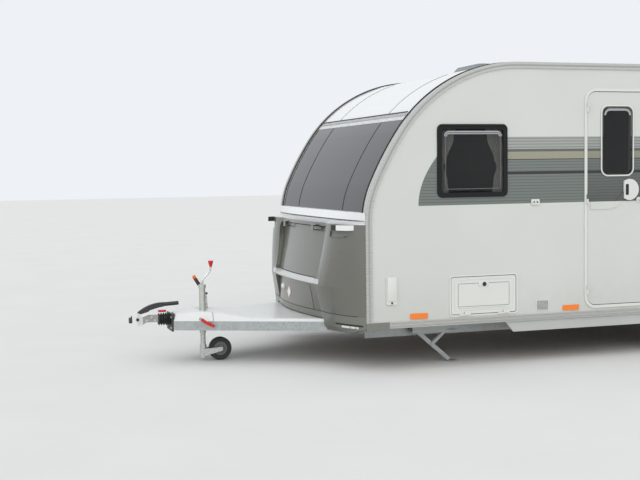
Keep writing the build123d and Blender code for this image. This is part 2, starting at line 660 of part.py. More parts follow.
handle_side = make_face(
    ThreePointArc((-1566, 418), (-1465, 476), (-1345, 494))
    + Line((-1345, 494), (-1345, 462))
    + ThreePointArc((-1345, 462), (-1432, 444), (-1540, 402))
    + Line((-1540, 402), (-1566, 418))
)
arm_side = polygon((-1556, 390), (-1540, 406), (-1470, 428), (-1455, 408), (-1530, 384))
coupling_lever = slab(handle_side, -17, 17) + rod((-1352, 0, 478), (-1226, 0, 484), 16)
coupling_lever += slab(arm_side, -head_half + 6, -17) + slab(arm_side, 17, head_half - 6)
save("coupling_handle", coupling_lever - coupling_head)
folds = 5
fold = (bellows_x1 - bellows_x0) / folds
zigzag = [(bellows_x0, 0)]
for i in range(folds):
    zigzag += [(bellows_x0 + i * fold, 36), (bellows_x0 + (i + 0.5) * fold, 51)]
zigzag += [(bellows_x1, 36), (bellows_x1, 0)]
bellows_section = Plane.XZ * polygon(*zigzag)
save("bellows", Pos(0, 0, coupling_z - 4) * revolve(bellows_section, Axis.X))
housing = block(bellows_x1, bellows_x1 + 12, -118, 118, 262, 404)
housing += block(bellows_x1 + 12, -1130, -48, 48, member_z1, 398)
housing += block(bellows_x1 + 12, -1130, -36, 36, 290, member_z1)
save("overrun_housing", housing)

# Drawbar cover: a thin hood over the housing and a flat sheet behind it, open underneath
cover_skin, cover_taper, cover_margin = 4, 20, 2
cover_nose_x, cover_tail_x, cover_seam_x = bellows_x1 + 14, -150, -990
cover_crown = [  # x, z of the top
    (cover_nose_x, 404), (-1085, 424), (-930, 414), (-700, 374), (cover_tail_x, 371),
]


def cover_form(inset, foot):
    nose_y = drawbar_y(cover_nose_x, cover_margin) - inset
    tail_y = drawbar_y(cover_tail_x, cover_margin) - inset
    plan = polygon(
        (cover_nose_x + inset, -nose_y), (cover_tail_x, -tail_y), (cover_tail_x, tail_y),
        (cover_nose_x + inset, nose_y),
    )
    crown = polygon((cover_nose_x, foot), *[(x, z - inset) for x, z in cover_crown], (cover_tail_x, foot))
    return Pos(0, 0, foot) * extrude(plan, amount=90, taper=cover_taper) & slab(crown, -half, half)


jockey_x, jockey_y, jockey_tube_r = -1037, -60, 26
clamp_screw_x, clamp_screw_z = -1085, 366
brake_y = 100
drawbar_cover = cover_form(0, member_z1) - cover_form(cover_skin, member_z1 - 1)
drawbar_cover -= block(cover_nose_x - 1, cover_nose_x + 40, -52, 52, member_z1 - 1, 400)
drawbar_cover -= Pos(jockey_x, jockey_y, 400) * Cylinder(jockey_tube_r + 5, 90)
drawbar_cover -= block(-1060, -900, brake_y - 20, brake_y + 20, 370, 450)
drawbar_cover -= rod((clamp_screw_x, -300, clamp_screw_z), (clamp_screw_x, -150, clamp_screw_z), 11)
drawbar_cover -= block(cover_seam_x - 2, cover_seam_x + 2, -half, half, member_z1, 450)
save("drawbar_cover", drawbar_cover)

# Handbrake lever on its pivot
brake_points = [  # x, z along the lever
    (-963, 340), (-965, 417), (-974, 523), (-1028, 616),
]
brake_bar_r, brake_grip_r, brake_tip = 9, 15, (-1074, 692)
brake_lever = block(-1083, -945, brake_y - 6, brake_y + 6, 300, 345)
for (x0, z0), (x1, z1) in zip(brake_points, brake_points[1:]):
    brake_lever += rod((x0, brake_y, z0), (x1, brake_y, z1), brake_bar_r)
    brake_lever += Pos(x1, brake_y, z1) * Sphere(brake_bar_r)
grip_foot = brake_points[-1]
brake_lever += rod((grip_foot[0], brake_y, grip_foot[1]), (brake_tip[0], brake_y, brake_tip[1]), brake_grip_r)
save("handbrake_lever", brake_lever)

# Jockey stand: clamp and outer tube fixed, leg slides, fork swivels, wheel rolls
clamp_z = 311
clamp = Pos(jockey_x, jockey_y, clamp_z) * Cylinder(44, 60)
clamp += rod((jockey_x, jockey_y, 340), (jockey_x, jockey_y, 380), 38)
clamp += block(-1083, jockey_x - 25, jockey_y - 20, jockey_y + 20, 286, 336)
clamp += block(clamp_screw_x - 12, jockey_x - 20, jockey_y - 24, jockey_y + 4, 354, 380)
clamp += rod((clamp_screw_x, jockey_y, clamp_screw_z), (clamp_screw_x, -270, clamp_screw_z), 8)
clamp -= Pos(jockey_x, jockey_y, clamp_z) * Cylinder(jockey_tube_r, 200)
clamp_lever = polygon(
    (-1097, 372), (-1080, 379), (-1050, 354), (-992, 323), (-983, 307), (-996, 299), (-1056, 329), (-1094, 355)
)
clamp += slab(clamp_lever, -279, -264)
save("jockey_clamp", clamp)
leg_r = 21
tube = rod((jockey_x, jockey_y, 235), (jockey_x, jockey_y, 620), jockey_tube_r)
tube += rod((jockey_x, jockey_y, 604), (jockey_x, jockey_y, 632), jockey_tube_r + 5)
tube += rod((jockey_x, jockey_y, 558), (jockey_x + jockey_tube_r + 18, jockey_y, 558), 9)
tube -= rod((jockey_x, jockey_y, 230), (jockey_x, jockey_y, 580), leg_r + pin_gap)
save("jockey_tube", tube)
crank = rod((jockey_x, jockey_y, 632), (jockey_x, jockey_y, 672), 11)
crank_arm_r = 8
crank += rod((jockey_x, jockey_y, 664), (-967, jockey_y, 745), crank_arm_r)
crank += rod((-967, jockey_y, 738), (-961, jockey_y, 778), crank_arm_r)
crank += Pos(-961, jockey_y, 775) * Cone(17, 10, 54, align=(Align.CENTER, Align.CENTER, Align.MIN))
save("jockey_crank", crank)
leg_foot_z, sleeve_z0, sleeve_z1, collar_h = 27, 40, 128, 10
leg = rod((jockey_x, jockey_y, leg_foot_z), (jockey_x, jockey_y, 490), leg_r)
leg += rod((jockey_x, jockey_y, sleeve_z1), (jockey_x, jockey_y, sleeve_z1 + collar_h), leg_r + 5)
leg += rod((jockey_x, jockey_y, leg_foot_z), (jockey_x, jockey_y, sleeve_z0 - pin_gap), leg_r + 5)
save("jockey_leg", leg)
jockey_wheel_r, jockey_wheel_w, jockey_trail = 95, 58, 142
jockey_axle_x, jockey_axle_z = jockey_x + jockey_trail, jockey_wheel_r
fork = rod((jockey_x, jockey_y, sleeve_z0), (jockey_x, jockey_y, sleeve_z1 - pin_gap), leg_r + 7)
fork_top = sleeve_z0 + 62
fork_face = polygon(
    (jockey_x, sleeve_z0 + 2), (jockey_x, fork_top), (jockey_axle_x + 14, jockey_axle_z + 14),
    (jockey_axle_x + 18, jockey_axle_z), (jockey_axle_x + 12, jockey_axle_z - 18),
)
cheek = jockey_wheel_w / 2 + 5
for side in (-1, 1):
    y = jockey_y + side * (cheek + 2)
    fork += slab(fork_face, y - 2, y + 2)
fork += block(jockey_x, jockey_x + 24, jockey_y - cheek - 4, jockey_y + cheek + 4, sleeve_z0 + 2, fork_top)
fork += rod(
    (jockey_axle_x, jockey_y - cheek - 8, jockey_axle_z), (jockey_axle_x, jockey_y + cheek + 8, jockey_axle_z), 8
)
fork -= rod((jockey_x, jockey_y, 0), (jockey_x, jockey_y, sleeve_z1 + 1), leg_r + pin_gap)
save("jockey_fork", fork)
w = jockey_wheel_w / 2
wheel_section = polygon(
    (8 + pin_gap, -w), (28, -w), (34, -w + 12), (56, -w + 12), (62, -w + 2), (jockey_wheel_r - 8, -w + 2),
    (jockey_wheel_r, -w + 12), (jockey_wheel_r, w - 12), (jockey_wheel_r - 8, w - 2), (62, w - 2),
    (56, w - 12), (34, w - 12), (28, w), (8 + pin_gap, w),
)
jockey_wheel = Pos(jockey_axle_x, jockey_y, jockey_axle_z) * Rot(90, 0, 0) * revolve(
    Plane.XZ * wheel_section, Axis.Z
)
save("jockey_wheel", jockey_wheel)

# Corner steadies: a channel leg hinged at the bracket, and two brace plates from its middle
# up to slots in the bracket, where they run as the leg folds
steady_y = 850
steady_pivot_x, steady_pivot_z = 537, 262
steady_leg, steady_half, pad_thick = 375, 175, 6
steady_drop = steady_pivot_z - 16
steady_angle = degrees(atan2(steady_drop, (steady_leg ** 2 - steady_drop ** 2) ** 0.5))
leg_w, leg_h, brace_t = 26, 32, 4
pin_r = 6
swing = radians(steady_angle)
slot_x0 = steady_pivot_x + 2 * steady_half * cos(swing)
slot_x1 = steady_pivot_x + 2 * steady_half
plate_y = leg_w / 2 + 1 + brace_t
bracket_end = slot_x1 + 13


def steady_bracket():
    cheek_face = rounded(steady_pivot_x - 40, bracket_end, steady_pivot_z - 22, sill_z, 12)
    slot_mid = (slot_x0 + slot_x1) / 2
    slot = Pos(slot_mid, steady_pivot_z) * SlotCenterToCenter(slot_x1 - slot_x0 + 2, 2 * (pin_r - 1 + pin_gap))
    low, high = steady_y + plate_y + 1, steady_y + plate_y + 5
    inner, outer = 2 * steady_y - high, 2 * steady_y - low
    bracket = slab(cheek_face - slot, low, high) + slab(cheek_face - slot, inner, outer)
    bracket += block(steady_pivot_x - 28, bracket_end - 12, inner, high, sill_z - 6, sill_z)
    bracket += rod((steady_pivot_x, inner, steady_pivot_z), (steady_pivot_x, high, steady_pivot_z), pin_r)
    return bracket


def steady_leg_piece():
    """Drawn along +x from its pivot, then swung down to the ground."""
    channel = block(-14, steady_leg, -leg_w / 2, leg_w / 2, -leg_h / 2, leg_h / 2)
    channel -= block(26, steady_leg - 20, -leg_w / 2 + 3, leg_w / 2 - 3, -leg_h / 2 + 3, leg_h)
    channel -= rod((0, -leg_w, 0), (0, leg_w, 0), pin_r + pin_gap)
    channel += rod((steady_half, -plate_y, 0), (steady_half, plate_y, 0), pin_r)
    placed = Pos(steady_pivot_x, steady_y, steady_pivot_z) * Rot(0, steady_angle, 0) * channel
    foot_x = steady_pivot_x + steady_leg * cos(swing)
    placed -= block(foot_x - 120, foot_x + 120, steady_y - 60, steady_y + 60, -60, pad_thick)
    return placed + block(foot_x - 18, foot_x + 62, steady_y - 40, steady_y + 40, 0, pad_thick)


def steady_brace():
    """Two plates from the leg's middle pin up to the slot."""
    mid_x = steady_pivot_x + steady_half * cos(swing)
    mid_z = steady_pivot_z - steady_half * sin(swing)
    ends = (Pos(mid_x, mid_z) * Circle(13)).edges() + (Pos(slot_x0, steady_pivot_z) * Circle(11)).edges()
    face = make_hull(ends) - Pos(mid_x, mid_z) * Circle(pin_r + pin_gap)
    low, high = steady_y + leg_w / 2 + 1, steady_y + plate_y
    pair = slab(face, low, high) + slab(face, 2 * steady_y - high, 2 * steady_y - low)
    tie = rod((slot_x0, 2 * steady_y - high - 5, steady_pivot_z), (slot_x0, high + 5, steady_pivot_z), pin_r - 1)
    return pair + tie


rear_pivot_x = rear_x - 480
flip_x = (steady_pivot_x + rear_pivot_x) / 2
steadies = [  # name, mirrored front to back, side
    ("front_near", False, -1),
    ("front_far", False, 1),
    ("rear_near", True, -1),
    ("rear_far", True, 1),
]
brackets = []
for name, flipped, side in steadies:
    pieces = [steady_bracket(), steady_leg_piece(), steady_brace()]
    if flipped:
        about = Plane(origin=(flip_x, 0, 0), z_dir=(1, 0, 0))
        pieces = [mirror(p, about=about) for p in pieces]
    if side < 0:
        pieces = [far(p) for p in pieces]
    brackets.append(pieces[0])
    save(f"steady_leg_{name}", pieces[1])
    save(f"steady_brace_{name}", pieces[2])
save("steady_brackets", *brackets)

# Small fittings on the entrance side and the far side
vent = slab(rounded(164, 253, 521, 737, 12), -half - 10, -half)
catch = slab(rounded(1412, 1486, 1262, 1308, 8), -half - 10, -half)
square_vent = slab(rounded(1457, 1570, 410, 497, 6), -half - 5, -half)
save("wall_fittings", vent, catch, square_vent)
reflectors = [slab(rounded(x0, x0 + 148, 399, 443, 6), -half - 6, -half) for x0 in (361, 1698, 4300)]
save("side_reflectors", *reflectors, *[far(s) for s in reflectors])
handle_mid = (handle_z0 + handle_z1) / 2
handle_face = make_face(
    Line((handle_x0, handle_z0), (handle_x0, handle_z1))
    + ThreePointArc((handle_x0, handle_z1), (handle_x1, handle_mid), (handle_x0, handle_z0))
)
handle = slab(handle_face, -half - 18, -half - 4)
handle -= slab(rounded(handle_x0 + 13, handle_x0 + 43, handle_z0 + 25, handle_z1 - 25, 8), -half - 20, -half - 8)
lock = rod((2405, -half - 4, 1285), (2405, -half - 12, 1285), 22) - handle
save("door_handle", handle, lock)
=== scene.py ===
# %% [markdown]
# A touring caravan, dressed for a photograph
#
# The model comes in as a fixed frame: every panel, hinge and wheel already has its place and
# size in metres. x runs to the rear, the entrance side is at -y, z is up, and the origin is on
# the ground under the middle. This lesson gives each panel its finish, and adds the small things
# that a maker fits last: screws, seals, treads, lenses and curtains.

# %% Load the frame
from math import cos, pi, radians, sin

import bmesh
import bpy
from mathutils import Matrix, Vector
from mathutils.bvhtree import BVHTree


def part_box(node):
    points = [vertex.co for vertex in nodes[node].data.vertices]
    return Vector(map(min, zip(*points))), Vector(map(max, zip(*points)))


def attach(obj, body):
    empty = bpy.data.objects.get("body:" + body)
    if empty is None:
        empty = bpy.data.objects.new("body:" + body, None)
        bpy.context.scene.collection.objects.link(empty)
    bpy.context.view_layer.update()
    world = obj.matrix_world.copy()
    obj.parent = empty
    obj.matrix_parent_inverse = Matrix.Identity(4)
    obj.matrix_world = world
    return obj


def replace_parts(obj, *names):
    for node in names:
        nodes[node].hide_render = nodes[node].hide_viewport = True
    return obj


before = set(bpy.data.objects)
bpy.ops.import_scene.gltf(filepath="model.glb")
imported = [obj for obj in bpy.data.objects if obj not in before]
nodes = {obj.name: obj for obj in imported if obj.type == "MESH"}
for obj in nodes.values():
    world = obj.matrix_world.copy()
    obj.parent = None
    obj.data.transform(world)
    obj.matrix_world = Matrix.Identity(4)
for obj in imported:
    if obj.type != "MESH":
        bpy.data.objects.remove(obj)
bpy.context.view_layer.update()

# %% [markdown]
# Distances along the body are easiest to read from the front edge of the side walls, as a
# caravan builder measures them. The frame's origin is under the middle, so station() turns one
# into the other. Half the width comes from the side wall itself.

# %% Driving sizes
wall_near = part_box("side_wall_near")
front_line = wall_near[0].x
rear_line = wall_near[1].x
wall_top = wall_near[1].z
half_width = -wall_near[0].y
skin = -half_width      # the entrance side's outer face
wall_thick = 0.030
sides = ((-1, "near"), (1, "far"))
X, Y, Z = 0, 1, 2


def station(x, y=0.0, z=0.0):
    """A point measured from the front line of the side walls, in the frame's own metres."""
    return Vector((front_line + x, y, z))


def on_side(pairs, y):
    """Points at one y from (x, z) stations."""
    return [station(x, y, z) for x, z in pairs]


def middle_of(name):
    """The middle of a CAD node's box."""
    return [(low + high) / 2 for low, high in zip(*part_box(name))]


def face_of(name):
    """The x0, x1, z0, z1 of a CAD node's box, its x values as stations."""
    low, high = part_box(name)
    return low.x - front_line, high.x - front_line, low.z, high.z


print("front line", round(front_line, 4), "half width", round(half_width, 4), "roof", round(wall_top, 4))

# %% [markdown]
# The camera stands where the photograph was taken from: about nine metres from the entrance side,
# a little ahead of the coupling, at eye height. A long lens keeps the walls nearly parallel.
# Its three axes come from its yaw, pitch and roll, which is how a tripod head is set.

# %% Camera
eye = station(-3.0094, -9.1909, 1.5624)
yaw, pitch, roll = 0.3178, -0.0618, -0.0134
sensor_width = 36.0
lens_length = 63.55

forward = Vector((sin(yaw) * cos(pitch), cos(yaw) * cos(pitch), sin(pitch)))
level_right = Vector((cos(yaw), -sin(yaw), 0.0))
level_up = level_right.cross(forward)
right = level_right * cos(roll) + level_up * sin(roll)
up = level_up * cos(roll) - level_right * sin(roll)

camera_data = bpy.data.cameras.new("camera")
camera_data.lens = lens_length
camera_data.sensor_width = sensor_width
camera = bpy.data.objects.new("camera", camera_data)
camera.matrix_world = Matrix.Translation(eye) @ Matrix((right, up, -forward)).transposed().to_4x4()
bpy.context.scene.collection.objects.link(camera)
bpy.context.scene.camera = camera
print("camera at", [round(v, 3) for v in eye])

# %% [markdown]
# Materials, Geometry Nodes and the sky are all trees of nodes. Building them by hand takes many
# lines, so Tree adds a node, sets its inputs and joins them in one go. Nodes is the tree of a
# material, which ends in one shader, with a short name for each common node. Everything reads
# Object coordinates, so patterns stay put when a door swings.

# %% A short way to write materials


class Tree:
    """A node tree, with short ways to add and join nodes."""

    def __init__(self, tree):
        self.tree = tree

    def join(self, source, target):
        """Links a socket to an input, or sets the input where source is a plain value."""
        if isinstance(source, bpy.types.NodeSocket):
            self.tree.links.new(source, target)
        else:
            target.default_value = source

    def add(self, kind, inputs=None, **settings):
        """Adds a node; inputs maps a socket's name or number to a value or to another socket."""
        node = self.tree.nodes.new(kind)
        for key, value in settings.items():
            setattr(node, key, value)
        for key, value in (inputs or {}).items():
            self.join(value, node.inputs[key])
        return node

    def math(self, operation, a, b=0.0, c=0.0):
        return self.add("ShaderNodeMath", {0: a, 1: b, 2: c}, operation=operation).outputs[0]

    def ramp(self, value, low, high):
        """Takes (value, result) pairs for the low and the high end."""
        ends = {"From Min": low[0], "To Min": low[1], "From Max": high[0], "To Max": high[1]}
        return self.add("ShaderNodeMapRange", {"Value": value, **ends}).outputs[0]


class Nodes(Tree):
    """A material's node tree; its patterns are placed by Object coordinates."""

    def __init__(self, name):
        self.material = bpy.data.materials.new(name)
        self.material.use_nodes = True
        super().__init__(self.material.node_tree)
        self.shader = self.tree.nodes["Principled BSDF"]
        self.place = self.add("ShaderNodeTexCoord").outputs["Object"]

    def dial(self, **values):
        """Sets or joins the shader's inputs: Coat_Weight stands for the input Coat Weight."""
        for label, value in values.items():
            self.join(value, self.shader.inputs[label.replace("_", " ")])

    def both(self, a, b):
        return self.math("MULTIPLY", a, b)

    def split(self):
        return self.add("ShaderNodeSeparateXYZ", {0: self.place}).outputs

    def above(self, axis, level):
        return self.math("GREATER_THAN", self.split()[axis], level)

    def below(self, axis, level):
        return self.math("LESS_THAN", self.split()[axis], level)

    def from_middle(self):
        """The distance from the caravan's middle plane."""
        return self.math("ABSOLUTE", self.split()[Y])

    def near_axle(self, x, z, radius):
        """1 closer than radius to a line along y through x, z."""
        px, _, pz = self.split()
        dx = self.math("SUBTRACT", px, x)
        dz = self.math("SUBTRACT", pz, z)
        square = self.math("ADD", self.math("MULTIPLY", dx, dx), self.math("MULTIPLY", dz, dz))
        return self.math("LESS_THAN", square, radius * radius)

    def noise(self, scale, detail=4.0, stretch=None):
        place = self.place
        if stretch is not None:
            place = self.add("ShaderNodeMapping", {"Scale": stretch, "Vector": place}).outputs[0]
        look = {"Scale": scale, "Detail": detail, "Vector": place}
        return self.add("ShaderNodeTexNoise", look).outputs["Fac"]

    def flakes(self, scale):
        """One random grey for each cell of a Voronoi pattern."""
        cells = self.add("ShaderNodeTexVoronoi", {"Scale": scale, "Vector": self.place})
        return self.add("ShaderNodeRGBToBW", {0: cells.outputs["Color"]}).outputs[0]

    def steps(self, value, stops):
        """One flat colour from each stop to the next; stops are (place, colour) pairs."""
        node = self.add("ShaderNodeValToRGB", {0: value})
        node.color_ramp.interpolation = "CONSTANT"
        elements = node.color_ramp.elements
        while len(elements) < len(stops):
            elements.new(1.0)
        for i, (place, colour) in enumerate(stops):
            elements[i].position = place
            elements[i].color = colour
        return node.outputs[0]

    def mix(self, amount, a, b):
        return self.add("ShaderNodeMix", {"Factor": amount, 6: a, 7: b}, data_type="RGBA").outputs[2]

    def bump(self, height, strength, distance):
        relief = {"Height": height, "Strength": strength, "Distance": distance}
        self.dial(Normal=self.add("ShaderNodeBump", relief).outputs[0])


def linear(red, green, blue):
    """A colour as read off a screen, 0 to 255, in the linear numbers that shaders take."""
    parts = [v / 255 for v in (red, green, blue)]
    return tuple(v / 12.92 if v <= 0.04045 else ((v + 0.055) / 1.055) ** 2.4 for v in parts) + (1.0,)


def shade(colour, factor):
    """A linear colour made darker or lighter."""
    return tuple(min(1.0, v * factor) for v in colour[:3]) + (1.0,)


print("middle grey is", round(linear(128, 128, 128)[0], 3), "to a shader")

# %% [markdown]
# Colours are written as they are read off a screen.

# %% The common recipe


def finish(name, colour, rough, metallic=0.0, grain=60.0, relief=0.0004, blotch=0.06, coat=0.0,
           stretch=None):
    """Wandering colour, wandering gloss and a fine grain."""
    n = Nodes(name)
    colour = linear(*colour)
    broad = n.noise(3.0, 3.0, stretch)
    fine = n.noise(grain, 5.0, stretch)
    n.dial(
        Base_Color=n.mix(broad, shade(colour, 1 - blotch), shade(colour, 1 + blotch)),
        Roughness=n.ramp(fine, (0.3, max(0.02, rough - 0.06)), (0.7, rough + 0.06)),
        Metallic=metallic, Coat_Weight=coat, Coat_Roughness=0.08,
    )
    n.bump(fine, 0.35, relief)
    return n


def dress(paint, *names):
    """Gives CAD nodes a material in place of their plain one."""
    for name in names:
        slots = nodes[name].data.materials
        slots.clear()
        slots.append(paint.material)


plastic_white = finish("moulded_white", (209, 211, 205), 0.42, grain=260.0, relief=0.0003, blotch=0.03)
dress(plastic_white, "door_frame", "hatch_door", "hatch_frame", "wall_fittings", "rooflight_frames")
print("first material:", plastic_white.material.name)

# %% [markdown]
# The side walls are painted aluminium sheet with vinyl graphics stuck on: dark bands with fine
# ribs, a sand-coloured line and a black one. Vinyl has no thickness to speak of, so it is drawn
# in the paint by height, and ends at the front in a curve. The same recipe goes on the door,
# where the vinyl darkens towards its foot. Only the outer faces get the vinyl.

# %% Wall paint with its bands
wall_colour = linear(200, 202, 197)
edge_colour = linear(176, 176, 172)
band_low, band_high = 1.276, 1.805
bands = [  # height where it starts, colour, whether it has ribs
    (1.276, linear(102, 109, 104), True),
    (1.506, linear(3, 3, 3), False),
    (1.529, linear(104, 111, 107), True),
    (1.6215, linear(16, 17, 16), False),
    (1.629, linear(143, 141, 122), False),
    (1.686, linear(82, 86, 81), False),
    (1.706, linear(150, 154, 150), True),
]
rib_pitch = 0.0235
band_nose = 0.438       # station of the graphics' front end at the foot
band_sweep = 1.1        # how fast that end falls back with height
plain_end = 0.900       # station where the lines start, behind the first window
dirt_foot, dirt_top = 0.39, 0.75


def vinyl_bands(n, foot_shade):
    """The graphics' colour and the depth of their ribs, at every height."""
    x, _, z = n.split()
    climb = n.math("SUBTRACT", z, band_low)
    rise = n.math("DIVIDE", climb, band_high - band_low)
    places = [(height - band_low) / (band_high - band_low) for height, _, _ in bands]
    colours = n.steps(rise, [(place, band[1]) for place, band in zip(places, bands)])
    ribbed = n.steps(rise, [(place, (band[2],) * 3 + (1.0,)) for place, band in zip(places, bands)])
    ground = n.mix(n.math("LESS_THAN", x, front_line + plain_end), colours, bands[0][1])
    phase = n.math("FRACT", n.math("DIVIDE", climb, rib_pitch))
    groove = n.ramp(n.math("ABSOLUTE", n.math("SUBTRACT", phase, 0.5)), (0.32, 0.0), (0.42, 1.0))
    groove = n.both(groove, ribbed)
    vinyl = n.mix(n.math("MULTIPLY", groove, 0.5), ground, (0.03, 0.035, 0.033, 1.0))
    darker = n.ramp(z, (band_low, foot_shade), (band_high, foot_shade * 0.15))
    return n.mix(darker, vinyl, linear(8, 9, 9)), groove


def vinyl_zone(n, outer):
    """1 where the vinyl covers the outer face."""
    x, _, z = n.split()
    climb = n.math("SUBTRACT", z, band_low)
    nose = n.math("MULTIPLY_ADD", n.math("MULTIPLY", climb, climb), band_sweep, front_line + band_nose)
    behind = n.ramp(n.math("SUBTRACT", x, nose), (0.0, 0.0), (0.002, 1.0))
    over_foot = n.ramp(z, (band_low - 0.001, 0.0), (band_low + 0.001, 1.0))
    under_top = n.ramp(z, (band_high - 0.001, 1.0), (band_high + 0.001, 0.0))
    return n.both(n.both(n.both(over_foot, under_top), behind), outer)


def wall_paint(name, foot_shade, lining_and_shade):
    """foot_shade darkens the foot of the bands; lining_and_shade colours the inner face, darkened on the
    side walls as painted shade of the unlit cabin.
    """
    n = Nodes(name)
    inner_edge = half_width - wall_thick
    outer = n.ramp(n.from_middle(), (half_width - 0.006, 0.0), (half_width - 0.002, 1.0))
    inner = n.ramp(n.from_middle(), (inner_edge + 0.002, 1.0), (inner_edge + 0.006, 0.0))
    vinyl, groove = vinyl_bands(n, foot_shade)
    zone = vinyl_zone(n, outer)
    paint = n.mix(n.noise(1.4, 3.0), shade(wall_colour, 0.94), shade(wall_colour, 1.05))
    low_dirt = n.both(n.ramp(n.split()[Z], (dirt_foot, 0.30), (dirt_top, 0.0)), n.noise(9.0, 5.0))
    paint = n.mix(low_dirt, paint, linear(150, 146, 132))
    paint = n.mix(outer, edge_colour, paint)
    paint = n.mix(inner, paint, linear(*lining_and_shade))
    fine = n.noise(220.0, 3.0)
    n.dial(
        Base_Color=n.mix(zone, paint, vinyl),
        Roughness=n.ramp(fine, (0.3, 0.24), (0.7, 0.34)),
        Coat_Weight=0.25, Coat_Roughness=0.1,
    )
    ribs = n.math("MULTIPLY", n.both(groove, zone), -0.8)
    n.bump(n.math("ADD", n.math("MULTIPLY", fine, 0.12), ribs), 0.4, 0.0008)
    return n


# The side walls' inner face is painted far darker than a caravan's light lining: painted shade of the unlit
# cabin.
dress(wall_paint("wall_white_bands", 0.0, (120, 116, 108)), "side_wall_near", "side_wall_far")
dress(wall_paint("door_white_bands", 0.5, (202, 202, 196)), "door_leaf")
print("wall paint:", len(bands), "bands")

# %% [markdown]
# The front and rear are moulded plastic with a gloss coat: white above the windows, and a
# silver paint with fine metal flake below them. The flake is a Voronoi pattern that tips the
# surface a little in every cell, so the paint glitters instead of looking grey.

# %% Moulded caps and silver paint
cap_white = finish("cap_gloss_white", (226, 228, 226), 0.16, grain=140.0, relief=0.0002, blotch=0.03,
                   coat=0.6)
roof_white = finish("roof_white", (214, 216, 212), 0.35, grain=90.0, relief=0.0006, blotch=0.05)
skirt_grey = finish("skirt_grey", (176, 178, 174), 0.45, grain=40.0, relief=0.0005, blotch=0.07)
cover_grey = finish("cover_light_grey", (205, 207, 205), 0.34, grain=120.0, relief=0.0005, blotch=0.05,
                    coat=0.2)


def flake_paint(name, colour, rough):
    """Silver paint with metal flakes under a clear coat."""
    n = Nodes(name)
    colour = linear(*colour)
    flakes = n.flakes(900.0)
    base = n.mix(n.noise(2.2, 3.0), shade(colour, 0.93), shade(colour, 1.06))
    n.dial(
        Base_Color=n.mix(n.math("MULTIPLY", flakes, 0.14), base, shade(colour, 1.5)),
        Roughness=n.ramp(flakes, (0.2, rough - 0.07), (0.8, rough + 0.07)),
        Metallic=0.55, Coat_Weight=0.45, Coat_Roughness=0.07,
    )
    n.bump(flakes, 0.03, 0.0002)
    return n


panel_silver = flake_paint("panel_silver_flake", (110, 110, 103), 0.32)
bumper_grey = flake_paint("bumper_silver_flake", (118, 119, 111), 0.38)
ledge_silver = flake_paint("ledge_silver_flake", (196, 197, 197), 0.3)
dress(cap_white, "front_cap", "rear_panel")
dress(roof_white, "roof_panel")
dress(skirt_grey, "side_skirts")
dress(cover_grey, "drawbar_cover")
dress(panel_silver, "front_panel", "locker_lid")
dress(bumper_grey, "front_bumper", "rear_bumper")
dress(ledge_silver, "front_ledge")
print("body paints:", len(bpy.data.materials))

# %% [markdown]
# Metals. Anodised rails are drawn through a die, so their grain runs along x. Zinc on steel
# freezes into pale flakes, and a Voronoi pattern gives each flake its own tone. Cast parts have
# a coarse skin.

# %% Metals
rail_bright = finish("rail_anodised", (176, 176, 172), 0.30, 0.35, grain=30.0, relief=0.00002, blotch=0.02,
                     stretch=(0.2, 6.0, 6.0))


def zinc(name, colour, scale, rough):
    """Zinc on steel; a larger scale gives smaller flakes."""
    n = Nodes(name)
    colour = linear(*colour)
    flakes = n.flakes(scale)
    stain = n.ramp(n.noise(7.0, 6.0), (0.56, 0.0), (0.78, 0.5))
    base = n.mix(flakes, shade(colour, 0.84), shade(colour, 1.12))
    n.dial(
        Base_Color=n.mix(stain, base, linear(128, 126, 118)),
        Roughness=n.ramp(flakes, (0.1, rough - 0.08), (0.9, rough + 0.1)),
        Metallic=0.7,
    )
    n.bump(n.noise(150.0, 4.0), 0.3, 0.0004)
    return n


galvanised = zinc("galvanised_steel", (164, 168, 168), 55.0, 0.48)
zinc_bright = zinc("zinc_plated", (190, 192, 190), 160.0, 0.34)
cast_dark = finish("cast_black", (52, 53, 54), 0.55, 0.2, grain=120.0, relief=0.0014, blotch=0.14)
rim_alloy = finish("wheel_alloy", (178, 180, 182), 0.28, 0.75, grain=160.0, relief=0.0003, blotch=0.05,
                   coat=0.4)
dress(rail_bright, "edge_trims", "side_sills")
dress(galvanised, "chassis_frame", "axle", "steady_brackets")
for corner in ("front_near", "front_far", "rear_near", "rear_far"):
    dress(galvanised, f"steady_leg_{corner}", f"steady_brace_{corner}")
dress(zinc_bright, "jockey_leg", "jockey_fork")
dress(cast_dark, "overrun_housing")
print("with metals:", len(bpy.data.materials))

# %% [markdown]
# Rubber and grips are nearly black but never black: dust lifts them to a dark grey, more in the
# hollows. The tyre and the bellows share one recipe with other numbers. The floor is birch ply,
# whose grain runs along x.

# %% Rubber, grips and floor
tyre_black = finish("tyre_rubber", (44, 44, 44), 0.78, grain=180.0, relief=0.0006, blotch=0.18)
bellows_black = finish("bellows_rubber", (30, 30, 31), 0.55, grain=220.0, relief=0.0004, blotch=0.16)
grip_black = finish("grip_plastic", (38, 38, 40), 0.5, grain=320.0, relief=0.0005, blotch=0.1)
frame_black = finish("window_frame_black", (13, 14, 15), 0.42, grain=200.0, relief=0.0002, blotch=0.08)
frame_black.dial(Specular_IOR_Level=0.25)
gasket_black = finish("gasket_black", (22, 23, 24), 0.5, grain=260.0, relief=0.0004, blotch=0.12)
lock_black = finish("lock_black", (28, 28, 29), 0.4, grain=260.0, relief=0.0003, blotch=0.1)
housing_black = finish("housing_black", (40, 41, 42), 0.7, grain=60.0, relief=0.0008, blotch=0.15)
ply = finish("floor_ply", (150, 122, 86), 0.62, grain=24.0, relief=0.0006, blotch=0.16,
             stretch=(1.0, 14.0, 14.0))
dress(tyre_black, "tyre_near", "tyre_far")
dress(bellows_black, "bellows")
dress(frame_black, "window_frames")
dress(housing_black, "wheel_boxes")
dress(ply, "floor_panel", "locker_bulkhead")
print("with rubber and ply:", len(bpy.data.materials))

